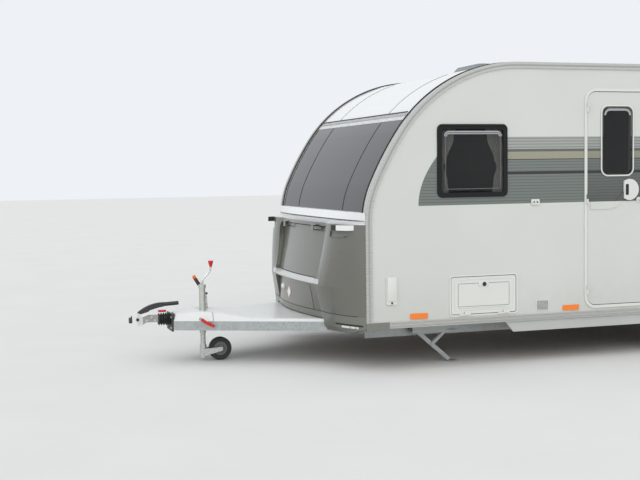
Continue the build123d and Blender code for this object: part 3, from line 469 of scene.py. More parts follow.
# %% [markdown]
# Caravan windows are tinted acrylic. From outside they read as dark glass with a clear gloss,
# and the curtains only show faintly. The side panes are partly clear by Alpha, which lets
# daylight through to the curtains as well. The front panes are nearly black.

# %% Tinted panes and lenses


def tint(name, colour, see_through, rough=0.04):
    """Tinted acrylic; see_through is the share of light that passes."""
    n = Nodes(name)
    colour = linear(*colour)
    waver = n.noise(2.5, 2.0)
    n.dial(
        Base_Color=n.mix(waver, shade(colour, 0.85), shade(colour, 1.15)),
        Roughness=n.ramp(n.noise(30.0), (0.3, rough), (0.7, rough + 0.03)),
        Transmission_Weight=see_through, IOR=1.49, Specular_IOR_Level=0.35,
    )
    n.bump(waver, 0.05, 0.002)
    return n


window_tint = tint("window_tint", (16, 16, 18), 0.0)
window_tint.dial(Alpha=0.45)
front_tint = tint("front_window_tint", (22, 23, 25), 0.2)
front_tint.dial(Coat_Weight=0.3)
dome_smoke = tint("dome_smoke", (150, 156, 160), 0.5, 0.12)
lens_clear = tint("lens_clear", (206, 208, 206), 0.5, 0.06)
orange_lens = finish("reflector_orange", (236, 122, 20), 0.2, grain=90.0, relief=0.0006, blotch=0.08,
                     coat=0.5)
dress(window_tint, "window_panes", "door_window")
dress(front_tint, "front_panes")
dress(dome_smoke, "rooflight_domes")
dress(orange_lens, "side_reflectors")
print("materials:", len(bpy.data.materials))

# %% [markdown]
# The caravan's small pieces come next. Most are one of three things: something turned on a
# lathe, such as a bolt or a cap, something that follows a path, such as a seal, or something that
# repeats. The lathe is plain Python, and so are boxes and flat plates. Each form can be added to
# the last, until piece() closes the shape and hands it to the body that it rides on.

# %% Turned and boxed shapes


def new_piece(name, mesh, paint, body="body", sharp=35.0):
    """A finished mesh becomes a piece that rides on a body, which is the cabin unless named."""
    for polygon in mesh.polygons:
        polygon.use_smooth = True
    mesh.set_sharp_from_angle(angle=radians(sharp))
    mesh.materials.clear()
    mesh.materials.append(paint.material)
    piece = bpy.data.objects.new(name, mesh)
    bpy.context.scene.collection.objects.link(piece)
    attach(piece, body)
    return piece


class Shape:
    """Collects simple closed forms in one mesh."""

    def __init__(self):
        self.bm = bmesh.new()

    def lathe(self, profile, origin, axis, segments=32):
        """profile is (radius, height) pairs, turned about an axis through origin."""
        turn = Vector(axis).to_track_quat("Z", "Y")
        rings = []
        for radius, height in profile:
            ring = []
            for i in range(segments if radius > 0 else 1):
                angle = 2 * pi * i / segments
                point = Vector((radius * cos(angle), radius * sin(angle), height))
                ring.append(self.bm.verts.new(Vector(origin) + turn @ point))
            rings.append(ring)
        for low, high in zip(rings, rings[1:]):
            for i in range(segments):
                j = (i + 1) % segments
                quad = [low[i % len(low)], low[j % len(low)], high[j % len(high)], high[i % len(high)]]
                unique = list(dict.fromkeys(quad))
                if len(unique) > 2:
                    self.bm.faces.new(unique)
        return self

    def box(self, low, high, bevel):
        made = bmesh.ops.create_cube(self.bm, size=1.0)["verts"]
        low, high = Vector(low), Vector(high)
        for vert in made:
            vert.co = Vector([(low[i] + high[i]) / 2 + vert.co[i] * (high[i] - low[i]) for i in range(3)])
        if bevel:
            edges = list({edge for vert in made for edge in vert.link_edges})
            bmesh.ops.bevel(self.bm, geom=edges, offset=bevel, segments=2, affect="EDGES", profile=0.5)
        return self

    def plate(self, outline, offset):
        """A flat outline of points, given a thickness along offset."""
        front = [self.bm.verts.new(Vector(p)) for p in outline]
        back = [self.bm.verts.new(Vector(p) + Vector(offset)) for p in outline]
        self.bm.faces.new(front)
        self.bm.faces.new(back[::-1])
        for i in range(len(front)):
            j = (i + 1) % len(front)
            self.bm.faces.new((front[j], front[i], back[i], back[j]))
        return self

    def piece(self, name, paint, slot_name, body="body", sharp=35.0):
        bmesh.ops.recalc_face_normals(self.bm, faces=self.bm.faces)
        mesh = bpy.data.meshes.new(name)
        self.bm.to_mesh(mesh)
        self.bm.free()
        return new_piece(name, mesh, paint, body, sharp)


def button(radius, shoulder, top_radius, top):
    """The profile of a bolt's head or a button, with its edge cut back."""
    return [(0.0, 0.0), (radius, 0.0), (radius, shoulder), (top_radius, top), (0.0, top)]


bolt_head = button(0.0095, 0.006, 0.0075, 0.0075)
print("a bolt's head is", bolt_head[-1][1] * 1000, "mm high")

# %% [markdown]
# Paths and repeats are Geometry Nodes. A node group is made in four steps: name its inputs, join
# its nodes, realise the instances, and set the material. build() then runs it once on a carrier
# object and keeps only the mesh.

# %% Geometry Nodes helper


class Geometry(Tree):
    """A geometry node group with named inputs, run once and kept as a plain mesh."""

    def __init__(self, name):
        super().__init__(bpy.data.node_groups.new(name, "GeometryNodeTree"))
        sockets = self.tree.interface
        sockets.new_socket("Geometry", in_out="OUTPUT", socket_type="NodeSocketGeometry")
        sockets.new_socket("Path", in_out="INPUT", socket_type="NodeSocketGeometry")
        self.entry = self.add("NodeGroupInput")
        self.exit = self.add("NodeGroupOutput")
        self.identifiers = {}
        self.defaults = {}

    def inputs(self, **defaults):
        """Makes named inputs, each of the kind that its default value has."""
        kinds = {float: "Float", int: "Int", tuple: "Vector", type(None): "Material"}
        for label, value in defaults.items():
            kind = "NodeSocket" + kinds[type(value)]
            socket = self.tree.interface.new_socket(label, in_out="INPUT", socket_type=kind)
            self.identifiers[label] = socket.identifier
            self.defaults[label] = value
        return [self.entry.outputs[label] for label in defaults]

    def curve(self):
        """The line that the group runs on."""
        return self.add("GeometryNodeMeshToCurve", {"Mesh": self.entry.outputs["Path"]}).outputs[0]

    def spaced(self, count):
        """Points along the line at an even pitch."""
        return self.add("GeometryNodeResampleCurve", {"Curve": self.curve(), "Count": count}).outputs[0]

    def copies(self, points, shape, turn):
        """A copy of a shape on every point."""
        wanted = {"Points": points, "Instance": shape, "Rotation": turn}
        return self.add("GeometryNodeInstanceOnPoints", wanted).outputs[0]

    def close(self, geometry):
        """The last two nodes: realise the instances and set the material."""
        material = self.inputs(Material=None)[0]
        real = self.add("GeometryNodeRealizeInstances", {"Geometry": geometry})
        painted = self.add("GeometryNodeSetMaterial", {"Geometry": real.outputs[0], "Material": material})
        self.join(painted.outputs[0], self.exit.inputs[0])

    def build(self, name, points, paint, slot_name, body="body", closed=False, **values):
        """Runs the group on a line through points; values sets its named inputs."""
        count = len(points)
        edges = [(i, i + 1) for i in range(count - 1)]
        if closed:
            edges.append((count - 1, 0))
        line = bpy.data.meshes.new(name + "_line")
        line.from_pydata([tuple(p) for p in points], edges, [])
        carrier = bpy.data.objects.new(name + "_carrier", line)
        bpy.context.scene.collection.objects.link(carrier)
        modifier = carrier.modifiers.new("build", "NODES")
        modifier.node_group = self.tree
        for label, value in dict(self.defaults, Material=paint.material, **values).items():
            modifier[self.identifiers[label]] = value
        depsgraph = bpy.context.evaluated_depsgraph_get()
        mesh = bpy.data.meshes.new_from_object(carrier.evaluated_get(depsgraph), depsgraph=depsgraph)
        mesh.name = name
        bpy.data.objects.remove(carrier)
        bpy.data.meshes.remove(line)
        return new_piece(name, mesh, paint, body)


print("node groups so far:", len(bpy.data.node_groups))

# %% [markdown]
# Four groups do all the work here. A strip sweeps a small flat section along a line, as a seal
# or a trim is laid. A row sets copies of a block along a line at an even pitch, and studs does
# the same with round or hexagonal heads. A ring sets blocks round an axle, row after row, which
# makes the tread of a tyre.

# %% Strip, row and studs


def make_strip():
    """A flat section with rounded corners, swept along a line."""
    g = Geometry("strip")
    width, height, facing = g.inputs(Width=0.01, Height=0.004, Facing=(0.0, 1.0, 0.0))
    faced = g.add("GeometryNodeSetCurveNormal", {"Curve": g.curve(), "Normal": facing}, mode="FREE")
    section = g.add("GeometryNodeCurvePrimitiveQuadrilateral", {"Width": height, "Height": width})
    corner = g.math("MULTIPLY", g.math("MINIMUM", width, height), 0.4)
    rounded = g.add(
        "GeometryNodeFilletCurve", {"Curve": section.outputs[0], "Radius": corner, "Count": 2}, mode="POLY"
    )
    swept = g.add(
        "GeometryNodeCurveToMesh",
        {"Curve": faced.outputs[0], "Profile Curve": rounded.outputs[0], "Fill Caps": True},
    )
    g.close(swept.outputs[0])
    return g


def make_row():
    """Blocks along a line."""
    g = Geometry("row")
    count, size, turn = g.inputs(Count=8, Size=(0.01, 0.01, 0.01), Turn=(0.0, 0.0, 0.0))
    block = g.add("GeometryNodeMeshCube", {"Size": size})
    g.close(g.copies(g.spaced(count), block.outputs[0], turn))
    return g


def make_studs():
    """Heads along a line, facing one way."""
    g = Geometry("studs")
    count, radius, height = g.inputs(Count=8, Radius=0.004, Height=0.004)
    turn, corners = g.inputs(Turn=(0.0, 0.0, 0.0), Corners=12)
    top = g.math("MULTIPLY", radius, 0.72)
    head = g.add(
        "GeometryNodeMeshCone",
        {"Vertices": corners, "Radius Top": top, "Radius Bottom": radius, "Depth": height},
    )
    g.close(g.copies(g.spaced(count), head.outputs[0], turn))
    return g


strip, row_of_blocks, studs = make_strip(), make_row(), make_studs()
print("node groups:", [group.tree.name for group in (strip, row_of_blocks, studs)])

# %% [markdown]
# The ring counts its points through all rows. Dividing a point's number by the count in one row
# gives its row, and that row's place along the axle, its start angle and the lean of its blocks
# all follow from it.

# %% Ring of blocks


def make_ring():
    """Blocks round an axle that runs along y, in rows that step along it."""
    g = Geometry("ring")
    count, rows, radius, pitch = g.inputs(Count=60, Rows=1, Radius=0.3, Pitch=0.03)
    skew, stagger = g.inputs(Skew=0.0, Stagger=0.5)
    size, centre = g.inputs(Size=(0.02, 0.02, 0.01), Centre=(0.0, 0.0, 0.0))
    cloud = g.add("GeometryNodePoints", {"Count": g.math("MULTIPLY", count, rows)}).outputs[0]
    index = g.add("GeometryNodeInputIndex").outputs[0]
    row = g.math("FLOOR", g.math("DIVIDE", g.math("ADD", index, 0.5), count))
    step = g.math("DIVIDE", 2 * pi, count)
    angle = g.math("MULTIPLY", g.math("ADD", index, g.math("MULTIPLY", row, stagger)), step)
    middle = g.math("MULTIPLY", g.math("SUBTRACT", rows, 1.0), 0.5)
    from_middle = g.math("SUBTRACT", row, middle)
    place = g.add("ShaderNodeCombineXYZ", {
        X: g.math("MULTIPLY", g.math("SINE", angle), radius),
        Y: g.math("MULTIPLY", from_middle, pitch),
        Z: g.math("MULTIPLY", g.math("COSINE", angle), radius),
    })
    moved = g.add("ShaderNodeVectorMath", {0: place.outputs[0], 1: centre}, operation="ADD").outputs[0]
    points = g.add("GeometryNodeSetPosition", {"Geometry": cloud, "Position": moved}).outputs[0]
    lean = g.math("MULTIPLY", from_middle, skew)
    turn = g.add("ShaderNodeCombineXYZ", {X: 0.0, Y: angle, Z: lean}).outputs[0]
    block = g.add("GeometryNodeMeshCube", {"Size": size}).outputs[0]
    g.close(g.copies(points, block, turn))
    return g


ring = make_ring()
print("ring inputs:", list(ring.identifiers))

# %% [markdown]
# The body's side outline is a straight front, three arcs that roll it into the roof, and one
# arc down to the rear wall. A pen that moves and turns draws it, so that any seal or seam can
# follow it at any distance inside the edge.

# %% The side outline
front_straight = 1.150
front_arcs = [  # radius, turn in degrees
    (0.750, 24),
    (2.600, 10),
    (1.233, 56),
]
rear_corner = 0.320
body_foot = 0.386
skin_inset = 0.006      # the skin between the walls lies this far inside their edge


def outline_points(inset, step=2.0):
    """Stations (x, z) along the outline from the foot of the front to the foot of the rear."""
    points = [(inset, body_foot), (inset, front_straight)]
    x, z, heading = inset, front_straight, 90.0
    for radius, turn in front_arcs:
        r = radius - inset
        centre = (x + r * sin(radians(heading)), z - r * cos(radians(heading)))
        steps = max(2, round(turn / step))
        for i in range(1, steps + 1):
            a = radians(heading - turn * i / steps)
            points.append((centre[0] - r * sin(a), centre[1] + r * cos(a)))
        x, z = points[-1]
        heading -= turn
    r = rear_corner - inset
    rear_x = rear_line - front_line
    for i in range(round(90 / step) + 1):
        a = radians(90 - step * i)
        points.append((rear_x - rear_corner + r * cos(a), wall_top - rear_corner + r * sin(a)))
    points.append((rear_x - inset, body_foot))
    return points


print("outline points:", len(outline_points(0.0)))

# %% [markdown]
# Windows, hatches and doors share one outline too, a rectangle with round corners. It starts at
# its top rear corner and ends at its top front one, so the two ends together make the top.

# %% Round-cornered loops


def rounded_loop(span, inset, radius, steps=8):
    """A rectangle with round corners inside a span of x0, x1, z0, z1, as (x, z) stations."""
    loop = []
    x0, x1, z0, z1 = span[0] + inset, span[1] - inset, span[2] + inset, span[3] - inset
    in_x0, in_x1, in_z0, in_z1 = x0 + radius, x1 - radius, z0 + radius, z1 - radius
    for cx, cz, start in ((in_x1, in_z1, 90), (in_x1, in_z0, 0), (in_x0, in_z0, -90), (in_x0, in_z1, -180)):
        for i in range(steps + 1):
            a = radians(start - 90 * i / steps)
            loop.append((cx + radius * cos(a), cz + radius * sin(a)))
    return loop


def top_of(loop, lowest):
    """The top of a rounded loop with its two corners, as far down as lowest."""
    corner = len(loop) // 4
    return [point for point in loop[-corner:] + loop[:corner] if point[1] > lowest]


print("points in a loop:", len(rounded_loop((0.0, 1.0, 0.0, 1.0), 0.0, 0.1)))

# %% [markdown]
# Seals and seams. A soft grey insert hides the screws of each edge rail. Black gaskets fill the
# joints between the front panes and at both their ends, and a black joint crosses the cap above
# them. Two seams run back from it towards the roof.

# %% Rail inserts, gaskets and seams
insert_grey = finish("insert_grey", (150, 152, 150), 0.5, grain=150.0, relief=0.0003, blotch=0.06)
rail_face = -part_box("edge_trims")[0].y
insert_inset = 0.025
pane_foot, pane_head = 1.235, 1.942
pane_split = 0.593      # y of the joints between the three front panes
edge_seal_y = half_width - 0.076
joint_z = 2.004
cap_top_x = 0.950


def between(points, axis, low, high):
    """The (x, z) points of a line whose x, or z where axis is 1, lies in a range."""
    return [p for p in points if low <= p[axis] <= high]


front_run = [p for p in outline_points(skin_inset - 0.0005, 1.0) if p[0] < 1.5]
above_joint = between(front_run, 1, joint_z, wall_top + 1.0)
front_seals = [  # name, distance from the middle, its line of (x, z) stations, width, height
    ("pane_gasket", pane_split, between(front_run, 1, pane_foot, pane_head), 0.003, 0.012),
    ("cap_seam", pane_split, between(above_joint, 0, 0.0, cap_top_x), 0.002, 0.006),
    ("edge_gasket", edge_seal_y, between(front_run, 1, pane_foot - 0.04, wall_top + 1.0), 0.022, 0.006),
]
for side, name in sides:
    path = on_side(outline_points(insert_inset), side * (rail_face - 0.0004))
    strip.build(f"rail_insert_{name}", path, insert_grey, "trim_bright", Width=0.014, Height=0.003)
for side, name in sides:
    for kind, y, run, width, height in front_seals:
        strip.build(f"{kind}_{name}", on_side(run, side * y), gasket_black, "window_black",
                    Width=width, Height=height)
joint_x = between(front_run, 1, joint_z - 0.03, joint_z + 0.03)[0][0]
joint_path = [station(joint_x - 0.003, y, joint_z) for y in (-1.06, 1.06)]
strip.build("cap_joint", joint_path, gasket_black, "window_black",
            Width=0.014, Height=0.008, Facing=(0.6, 0.0, -0.8))
print("joint at", round(joint_x, 3))

# %% [markdown]
# Some CAD nodes are one casting or moulding in the model and two colours in life: a zinc clamp
# with a red lever, or a black grip with a white arm. repaint() blends a second colour over a
# finished material wherever a test on the position says so.

# %% Two-colour parts of the stand and coupling


def repaint(n, mask, colour, metallic=0.0, rough=0.45):
    """Lays another colour over the material where mask is 1."""
    inputs = n.shader.inputs
    under = inputs["Base Color"].links[0].from_socket
    n.dial(Base_Color=n.mix(mask, under, linear(*colour)))
    keep = n.math("SUBTRACT", 1.0, mask)
    for label, value in (("Metallic", metallic), ("Roughness", rough)):
        socket = inputs[label]
        under = socket.links[0].from_socket if socket.links else socket.default_value
        n.join(n.math("MULTIPLY_ADD", mask, value, n.math("MULTIPLY", keep, under)), socket)


red_plastic = (190, 28, 26)
signal_orange = (232, 112, 30)
dark_brown = (58, 44, 36)
black_plastic = (30, 30, 32)
clamp_lever_y = -0.2625         # where each second colour starts
crank_knob_z = 0.7735
brake_grip_z, brake_button_z = 0.606, 0.672
tube_knob_x = front_line - 1.0108
lever_arm_y = 0.0172
neck_x, nose_x = front_line - 1.528, front_line - 1.6135
hub_radius = 0.058

lever_red = finish("lever_red", red_plastic, 0.35, grain=240.0, relief=0.0003, blotch=0.06)
clamp = zinc("clamp_zinc_and_red", (190, 192, 190), 160.0, 0.34)
repaint(clamp, clamp.below(Y, clamp_lever_y), red_plastic, rough=0.35)
crank = zinc("crank_zinc_and_red", (206, 208, 206), 160.0, 0.3)
repaint(crank, crank.above(Z, crank_knob_z), red_plastic, rough=0.35)
brake = zinc("brake_zinc_and_grip", (196, 198, 196), 160.0, 0.32)
repaint(brake, brake.above(Z, brake_grip_z), dark_brown, rough=0.6)
repaint(brake, brake.above(Z, brake_button_z), signal_orange)
tube = zinc("tube_zinc_and_knob", (188, 192, 184), 120.0, 0.4)
repaint(tube, tube.above(X, tube_knob_x), black_plastic)
lever = finish("coupling_grip_and_arm", (44, 44, 46), 0.52, grain=320.0, relief=0.0005, blotch=0.1)
arms = lever.math("GREATER_THAN", lever.from_middle(), lever_arm_y)
repaint(lever, arms, (222, 223, 220), 0.1, 0.35)
head = finish("coupling_cast_white", (214, 215, 212), 0.4, 0.15, grain=120.0, relief=0.0012, blotch=0.06)
repaint(head, head.above(X, neck_x), (150, 152, 148), 0.5)
repaint(head, head.below(X, nose_x), (46, 48, 50), 0.1, 0.6)
hub_x, _, hub_z = middle_of("jockey_wheel")
jockey_tyre = finish("jockey_rubber_and_hub", (40, 40, 41), 0.7, grain=160.0, relief=0.0006, blotch=0.15)
repaint(jockey_tyre, jockey_tyre.near_axle(hub_x, hub_z, hub_radius), (96, 98, 100), rough=0.5)
dress(clamp, "jockey_clamp")
dress(crank, "jockey_crank")
dress(brake, "handbrake_lever")
dress(tube, "jockey_tube")
dress(lever, "coupling_handle")
dress(head, "coupling_head")
dress(jockey_tyre, "jockey_wheel")
print("jockey hub at", round(hub_x, 3), round(hub_z, 3))

# %% [markdown]
# The same goes for the lamps, whose clusters are orange and white between the reds, for the
# handles with their dark inserts, and for the wheels, where the dark drum shows behind the alloy
# spokes. Near the wheels the ply floor has a black coat against spray.

# %% Two-colour lamps, handles and wheels
lamp_bands = ((0.74, 0.86, (238, 150, 40)), (0.86, 0.95, (226, 226, 224)))      # foot, head, colour
insert_y = 0.962        # the handles' dark inserts lie inside this
recess_x0, recess_x1 = front_line + 2.274, front_line + 2.306
recess_floor = skin - 0.0175

lamp = tint("lamp_clusters", (176, 16, 18), 0.15, 0.1)
for low, high, colour in lamp_bands:
    repaint(lamp, lamp.both(lamp.above(Z, low), lamp.below(Z, high)), colour, rough=0.12)

grab = finish("grab_handle_and_insert", (226, 227, 224), 0.3, grain=240.0, relief=0.0003, blotch=0.03)
repaint(grab, grab.math("LESS_THAN", grab.from_middle(), insert_y), black_plastic, rough=0.5)
handle = finish("door_handle_and_recess", (208, 209, 206), 0.36, grain=240.0, relief=0.0003, blotch=0.03)
recess = handle.both(handle.above(X, recess_x0), handle.below(X, recess_x1))
recess = handle.both(recess, handle.above(Y, recess_floor))
repaint(handle, recess, (44, 45, 46), rough=0.6)

axle_x, _, axle_z = middle_of("rim_near")
wheel_y = 1.045         # the middle of each wheel
drum_radius, drum_inset = 0.13, 0.045
coat_radius, coat_from = 0.52, 0.8
rim = finish("wheel_alloy_and_drum", (186, 188, 190), 0.26, 0.75, grain=90.0, relief=0.00005, blotch=0.04,
             coat=0.4)
inboard = rim.math("LESS_THAN", rim.from_middle(), wheel_y - drum_inset)
repaint(rim, rim.both(inboard, rim.near_axle(axle_x, axle_z, drum_radius)), (48, 46, 44), 0.3, 0.7)
outboard = ply.math("GREATER_THAN", ply.from_middle(), coat_from)
repaint(ply, ply.both(outboard, ply.near_axle(axle_x, axle_z, coat_radius)), (38, 38, 38), rough=0.8)
dress(lamp, "rear_lamps")
dress(grab, "grab_handles")
dress(handle, "door_handle")
dress(rim, "rim_near", "rim_far")
print("axle at", round(axle_x, 3), round(axle_z, 3))

# %% [markdown]
# Windows. Every pane is a double acrylic shell: its inner shell shows as a pale line with round
# corners, a pale strip along its bent top edge is a painted highlight for the sky's reflection, and
# a flat hinge rail holds it along the top. The door's window has a white frame.

# %% Window lines, bevels and rails
pale_line = finish("pane_inner_line", (84, 86, 88), 0.3, grain=90.0, relief=0.0002, blotch=0.1, coat=0.3)
# The pale grey of the panes' top edges is a painted highlight of the sky.
bevel_highlight = finish("pane_top_bevel", (150, 152, 154), 0.25, grain=90.0, relief=0.0002, blotch=0.08,
                    coat=0.3)
lounge = (0.598, 1.202, 1.335, 1.905)      # x0, x1, z0, z1, the x values as stations
bedroom = (4.680, 5.580, 1.335, 1.905)
side_windows = [
    ("lounge_near", -1, lounge),
    ("galley_near", -1, (2.860, 3.700, 1.400, 1.905)),
    ("bedroom_near", -1, bedroom),
    ("lounge_far", 1, lounge),
    ("dinette_far", 1, (2.250, 3.150, 1.335, 1.905)),
    ("bedroom_far", 1, bedroom),
]
rear_span = (-0.56, 0.56, 1.400, 1.905)     # y0, y1, z0, z1
pane_face = half_width + 0.0152
line_inset, line_radius = 0.066, 0.03
line_size = {"Width": 0.006, "Height": 0.0016}
rail_y = half_width + 0.0125
rail_inset, rail_drop = 0.03, 0.012

for name, side, span in side_windows:
    x0, x1, _, z1 = span
    loop = rounded_loop(span, line_inset, line_radius)
    strip.build(f"pane_line_{name}", on_side(loop, side * pane_face), pale_line, "window_black",
                closed=True, **line_size)
    bevel = on_side(top_of(loop, z1 - line_inset - 0.035), side * (pane_face - 0.0008))
    strip.build(f"pane_bevel_{name}", bevel, bevel_highlight, "window_black", Width=0.026, Height=0.0018)
    rail = [(x, z1 - rail_drop) for x in (x0 + rail_inset, x1 - rail_inset)]
    strip.build(f"hinge_rail_{name}", on_side(rail, side * rail_y), frame_black, "window_black",
                Width=0.014, Height=0.006)
rear_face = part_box("window_panes")[1].x + 0.0002
rear_loop = [(rear_face, y, z) for y, z in rounded_loop(rear_span, line_inset, line_radius)]
strip.build("pane_line_rear", rear_loop, pale_line, "window_black",
            closed=True, Facing=(1.0, 0.0, 0.0), **line_size)
door_glass = face_of("door_window")
door_loop = rounded_loop(door_glass, 0.0, 0.06)
strip.build("door_window_frame", on_side(door_loop, skin - 0.0095), plastic_white, "door_white", "door",
            closed=True, Width=0.013, Height=0.009)
print("window lines:", len(side_windows) + 2)

# %% [markdown]
# Curtains. A curtain is a flat cloth gathered on a rail: its pleats are deep at the top, close up
# at the tie, and open again below it. The cloth is woven, so two crossed waves make its threads.

# %% Curtain cloth
cloth = Nodes("curtain_cloth")
threads = 1.0
for direction in "XZ":
    thread = {"Scale": 260.0, "Vector": cloth.place}
    weave = cloth.add("ShaderNodeTexWave", thread, wave_type="BANDS", bands_direction=direction)
    threads = cloth.both(threads, weave.outputs["Fac"])
tone = cloth.mix(cloth.noise(6.0), linear(226, 224, 216), linear(240, 238, 232))
cloth.dial(
    Base_Color=cloth.mix(cloth.math("MULTIPLY", threads, 0.2), tone, linear(190, 186, 176)),
    Roughness=0.85, Sheen_Weight=0.3,
)
cloth.bump(threads, 0.4, 0.0006)
dress(cloth, "curtains")
print("cloth nodes:", len(cloth.tree.nodes))

# %% Curtains
cloth_profile = [  # share of the window's height, share of its width, from the top
    (1.05, 0.30), (0.80, 0.25), (0.52, 0.15), (0.42, 0.11), (0.24, 0.16), (-0.03, 0.19),
]
cloth_across, cloth_down = 60, 48
pleats = 7
hang_y = half_width - wall_thick - 0.0054       # where the rail hangs, just inside the wall
from_jamb = 0.010       # gap between the cloth and the side of the window


def cloth_width(rise):
    """The cloth's share of the window's width at a share of its height."""
    for (high, wide), (low, narrow) in zip(cloth_profile, cloth_profile[1:]):
        if rise >= low:
            share = (rise - low) / (high - low)
            smooth = share * share * (3 - 2 * share)
            return narrow + (wide - narrow) * smooth
    return cloth_profile[-1][1]


def curtain(name, side, span, mirrored):
    """One tied-back curtain as a sheet of pleats."""
    x0, x1, z0, z1 = span
    verts, faces = [], []
    top, foot = cloth_profile[0][0], cloth_profile[-1][0]
    for j in range(cloth_down + 1):
        rise = top + (foot - top) * j / cloth_down
        wide = cloth_width(rise) * (x1 - x0)
        depth = 0.0012 + 0.0030 * min(1.0, wide / (0.26 * (x1 - x0)))
        for i in range(cloth_across + 1):
            u = i / cloth_across
            x = x0 + from_jamb + u * (wide - 0.004)
            if mirrored:
                x = x0 + x1 - x
            wave = sin(2 * pi * pleats * u + 0.6 * sin(5.0 * rise))
            wave += 0.25 * sin(2 * pi * 2.3 * u + 4.0 * rise)
            verts.append(station(x, side * (hang_y - depth * wave / 1.25), z0 + rise * (z1 - z0)))
    row = cloth_across + 1
    for j in range(cloth_down):
        for i in range(cloth_across):
            a = j * row + i
            faces.append((a, a + row, a + row + 1, a + 1))
    mesh = bpy.data.meshes.new(name)
    mesh.from_pydata([tuple(v) for v in verts], [], faces)
    piece = new_piece(name, mesh, cloth, sharp=180.0)
    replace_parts(piece, "curtains")


for name, side, span in side_windows:
    curtain(f"curtain_{name}_front", side, span, False)
    curtain(f"curtain_{name}_rear", side, span, True)
print("curtains:", 2 * len(side_windows))

# %% [markdown]
# Wheels. The CAD tyre is plain, so a turned carcass with raised rings on its side takes its
# place, and the ring group sets its tread blocks: five staggered rows whose corners reach almost
# to the tyre's true radius. Fine ribs run round both shoulders.

# %% Tyres and their tread
tyre_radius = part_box("tyre_near")[1].z - axle_z
tread_depth = 0.008
tread_sink = 0.0004     # the blocks' flat tops stay this far inside the tyre's radius
tyre_profile = [  # radius, half width, from the bead to the middle of the tread
    (0.182, 0.082), (0.190, 0.0885), (0.200, 0.0895), (0.2015, 0.0908), (0.2045, 0.0912), (0.206, 0.0902),
    (0.226, 0.0918), (0.2275, 0.0934), (0.2305, 0.0938), (0.232, 0.0926), (0.262, 0.0940), (0.272, 0.0938),
    (0.2735, 0.0952), (0.2765, 0.0952), (0.278, 0.0936), (0.290, 0.0930),
    (0.300, 0.0915), (0.306, 0.0875), (0.312, 0.080), (0.3125, 0.070), (0.3125, 0.0),
]
bore = [(0.180, -0.060), (0.180, 0.060), tyre_profile[0]]
carcass_profile = tyre_profile + [(r, -w) for r, w in reversed(tyre_profile[:-1])] + bore


def lay_tyre(side, name):
    """The carcass, the tread and the shoulder ribs of one wheel."""
    wheel = f"wheel_{name}"
    middle = (axle_x, side * wheel_y, axle_z)
    carcass = Shape().lathe(carcass_profile, middle, (0.0, 1.0, 0.0), 96)
    tyre = carcass.piece(f"tyre_carcass_{name}", tyre_black, "tyre_black", wheel, 40.0)
    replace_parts(tyre, f"tyre_{name}")
    ring.build(f"tread_{name}", [middle, middle], tyre_black, "tyre_black", wheel, Count=64, Rows=5,
               Radius=tyre_radius - tread_depth / 2 - tread_sink, Pitch=0.0305, Skew=0.16, Stagger=0.35,
               Size=(0.0245, 0.0255, tread_depth), Centre=middle)
    ring.build(f"shoulder_ribs_{name}", [middle, middle], tyre_black, "tyre_black", wheel, Count=96, Rows=2,
               Radius=0.3035, Pitch=0.1735, Stagger=0.0, Size=(0.007, 0.005, 0.014), Centre=middle)


print("tyre radius", round(tyre_radius, 4))

# %% [markdown]
# The rim gets five bolts on their circle, a centre cap, and a valve that leans outwards. Then
# both wheels are dressed, first the tyre and then the rim.

# %% Wheel bolts, caps and valves
bolt_circle, bolt_count, first_bolt = 0.056, 5, 0.3
wheel_bolt = [
    (0.0, 0.0), (0.0145, 0.0), (0.0145, 0.004), (0.0105, 0.005),
    (0.0105, 0.014), (0.008, 0.017), (0.0, 0.017),
]
wheel_cap = [(0.0, 0.0), (0.034, 0.0), (0.034, 0.004), (0.031, 0.010), (0.020, 0.0135), (0.0, 0.0145)]
valve_stem = [(0.0, 0.0), (0.006, 0.0), (0.005, 0.012), (0.0035, 0.014), (0.0035, 0.030), (0.0, 0.031)]


def fit_rim(side, name):
    """The bolts, the cap and the valve of one wheel."""
    wheel = f"wheel_{name}"
    out = (0.0, side, 0.0)
    bolts = Shape()
    for i in range(bolt_count):
        angle = 2 * pi * i / bolt_count + first_bolt
        at = (axle_x + bolt_circle * cos(angle), side * (wheel_y + 0.026), axle_z + bolt_circle * sin(angle))
        bolts.lathe(wheel_bolt, at, out, 6)
    bolts.piece(f"wheel_bolts_{name}", zinc_bright, "rim_alloy", wheel)
    cap = Shape().lathe(wheel_cap, (axle_x, side * (wheel_y + 0.0285), axle_z), out, 40)
    cap.piece(f"wheel_cap_{name}", rim_alloy, "rim_alloy", wheel)
    valve_at = (axle_x + 0.150, side * (wheel_y + 0.018), axle_z)
    valve = Shape().lathe(valve_stem, valve_at, (0.25, side, 0.0), 16)
    valve.piece(f"wheel_valve_{name}", tyre_black, "tyre_black", wheel)


for side, name in sides:
    lay_tyre(side, name)
    fit_rim(side, name)
print("bolts in a wheel:", bolt_count)

# %% [markdown]
# The bellows between the coupling and its housing is one turned form: a sine wave for its folds,
# with a cuff at each end.

# %% Bellows
bellows_low, bellows_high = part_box("bellows")
_, bellows_y, bellows_z = middle_of("bellows")
bellows_length = bellows_high.x - bellows_low.x
fold_count, fold_steps = 5, 12
fold_depth = 0.0068
bellows_profile = [(0.0, 0.0), (0.036, 0.0), (0.040, 0.001)]
for i in range(1, fold_count * fold_steps):
    t = i / (fold_count * fold_steps)
    middle_radius = 0.0435 + 0.0040 * t
    bellows_profile.append((middle_radius - fold_depth * cos(2 * pi * fold_count * t), t * bellows_length))
bellows_profile += [(0.041, bellows_length - 0.001), (0.038, bellows_length), (0.0, bellows_length)]
folds = Shape().lathe(bellows_profile, (bellows_low.x, bellows_y, bellows_z), (1.0, 0.0, 0.0), 56)
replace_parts(folds.piece("bellows_folds", bellows_black, "bellows_black", sharp=60.0), "bellows")
print("bellows length", round(bellows_length, 4))

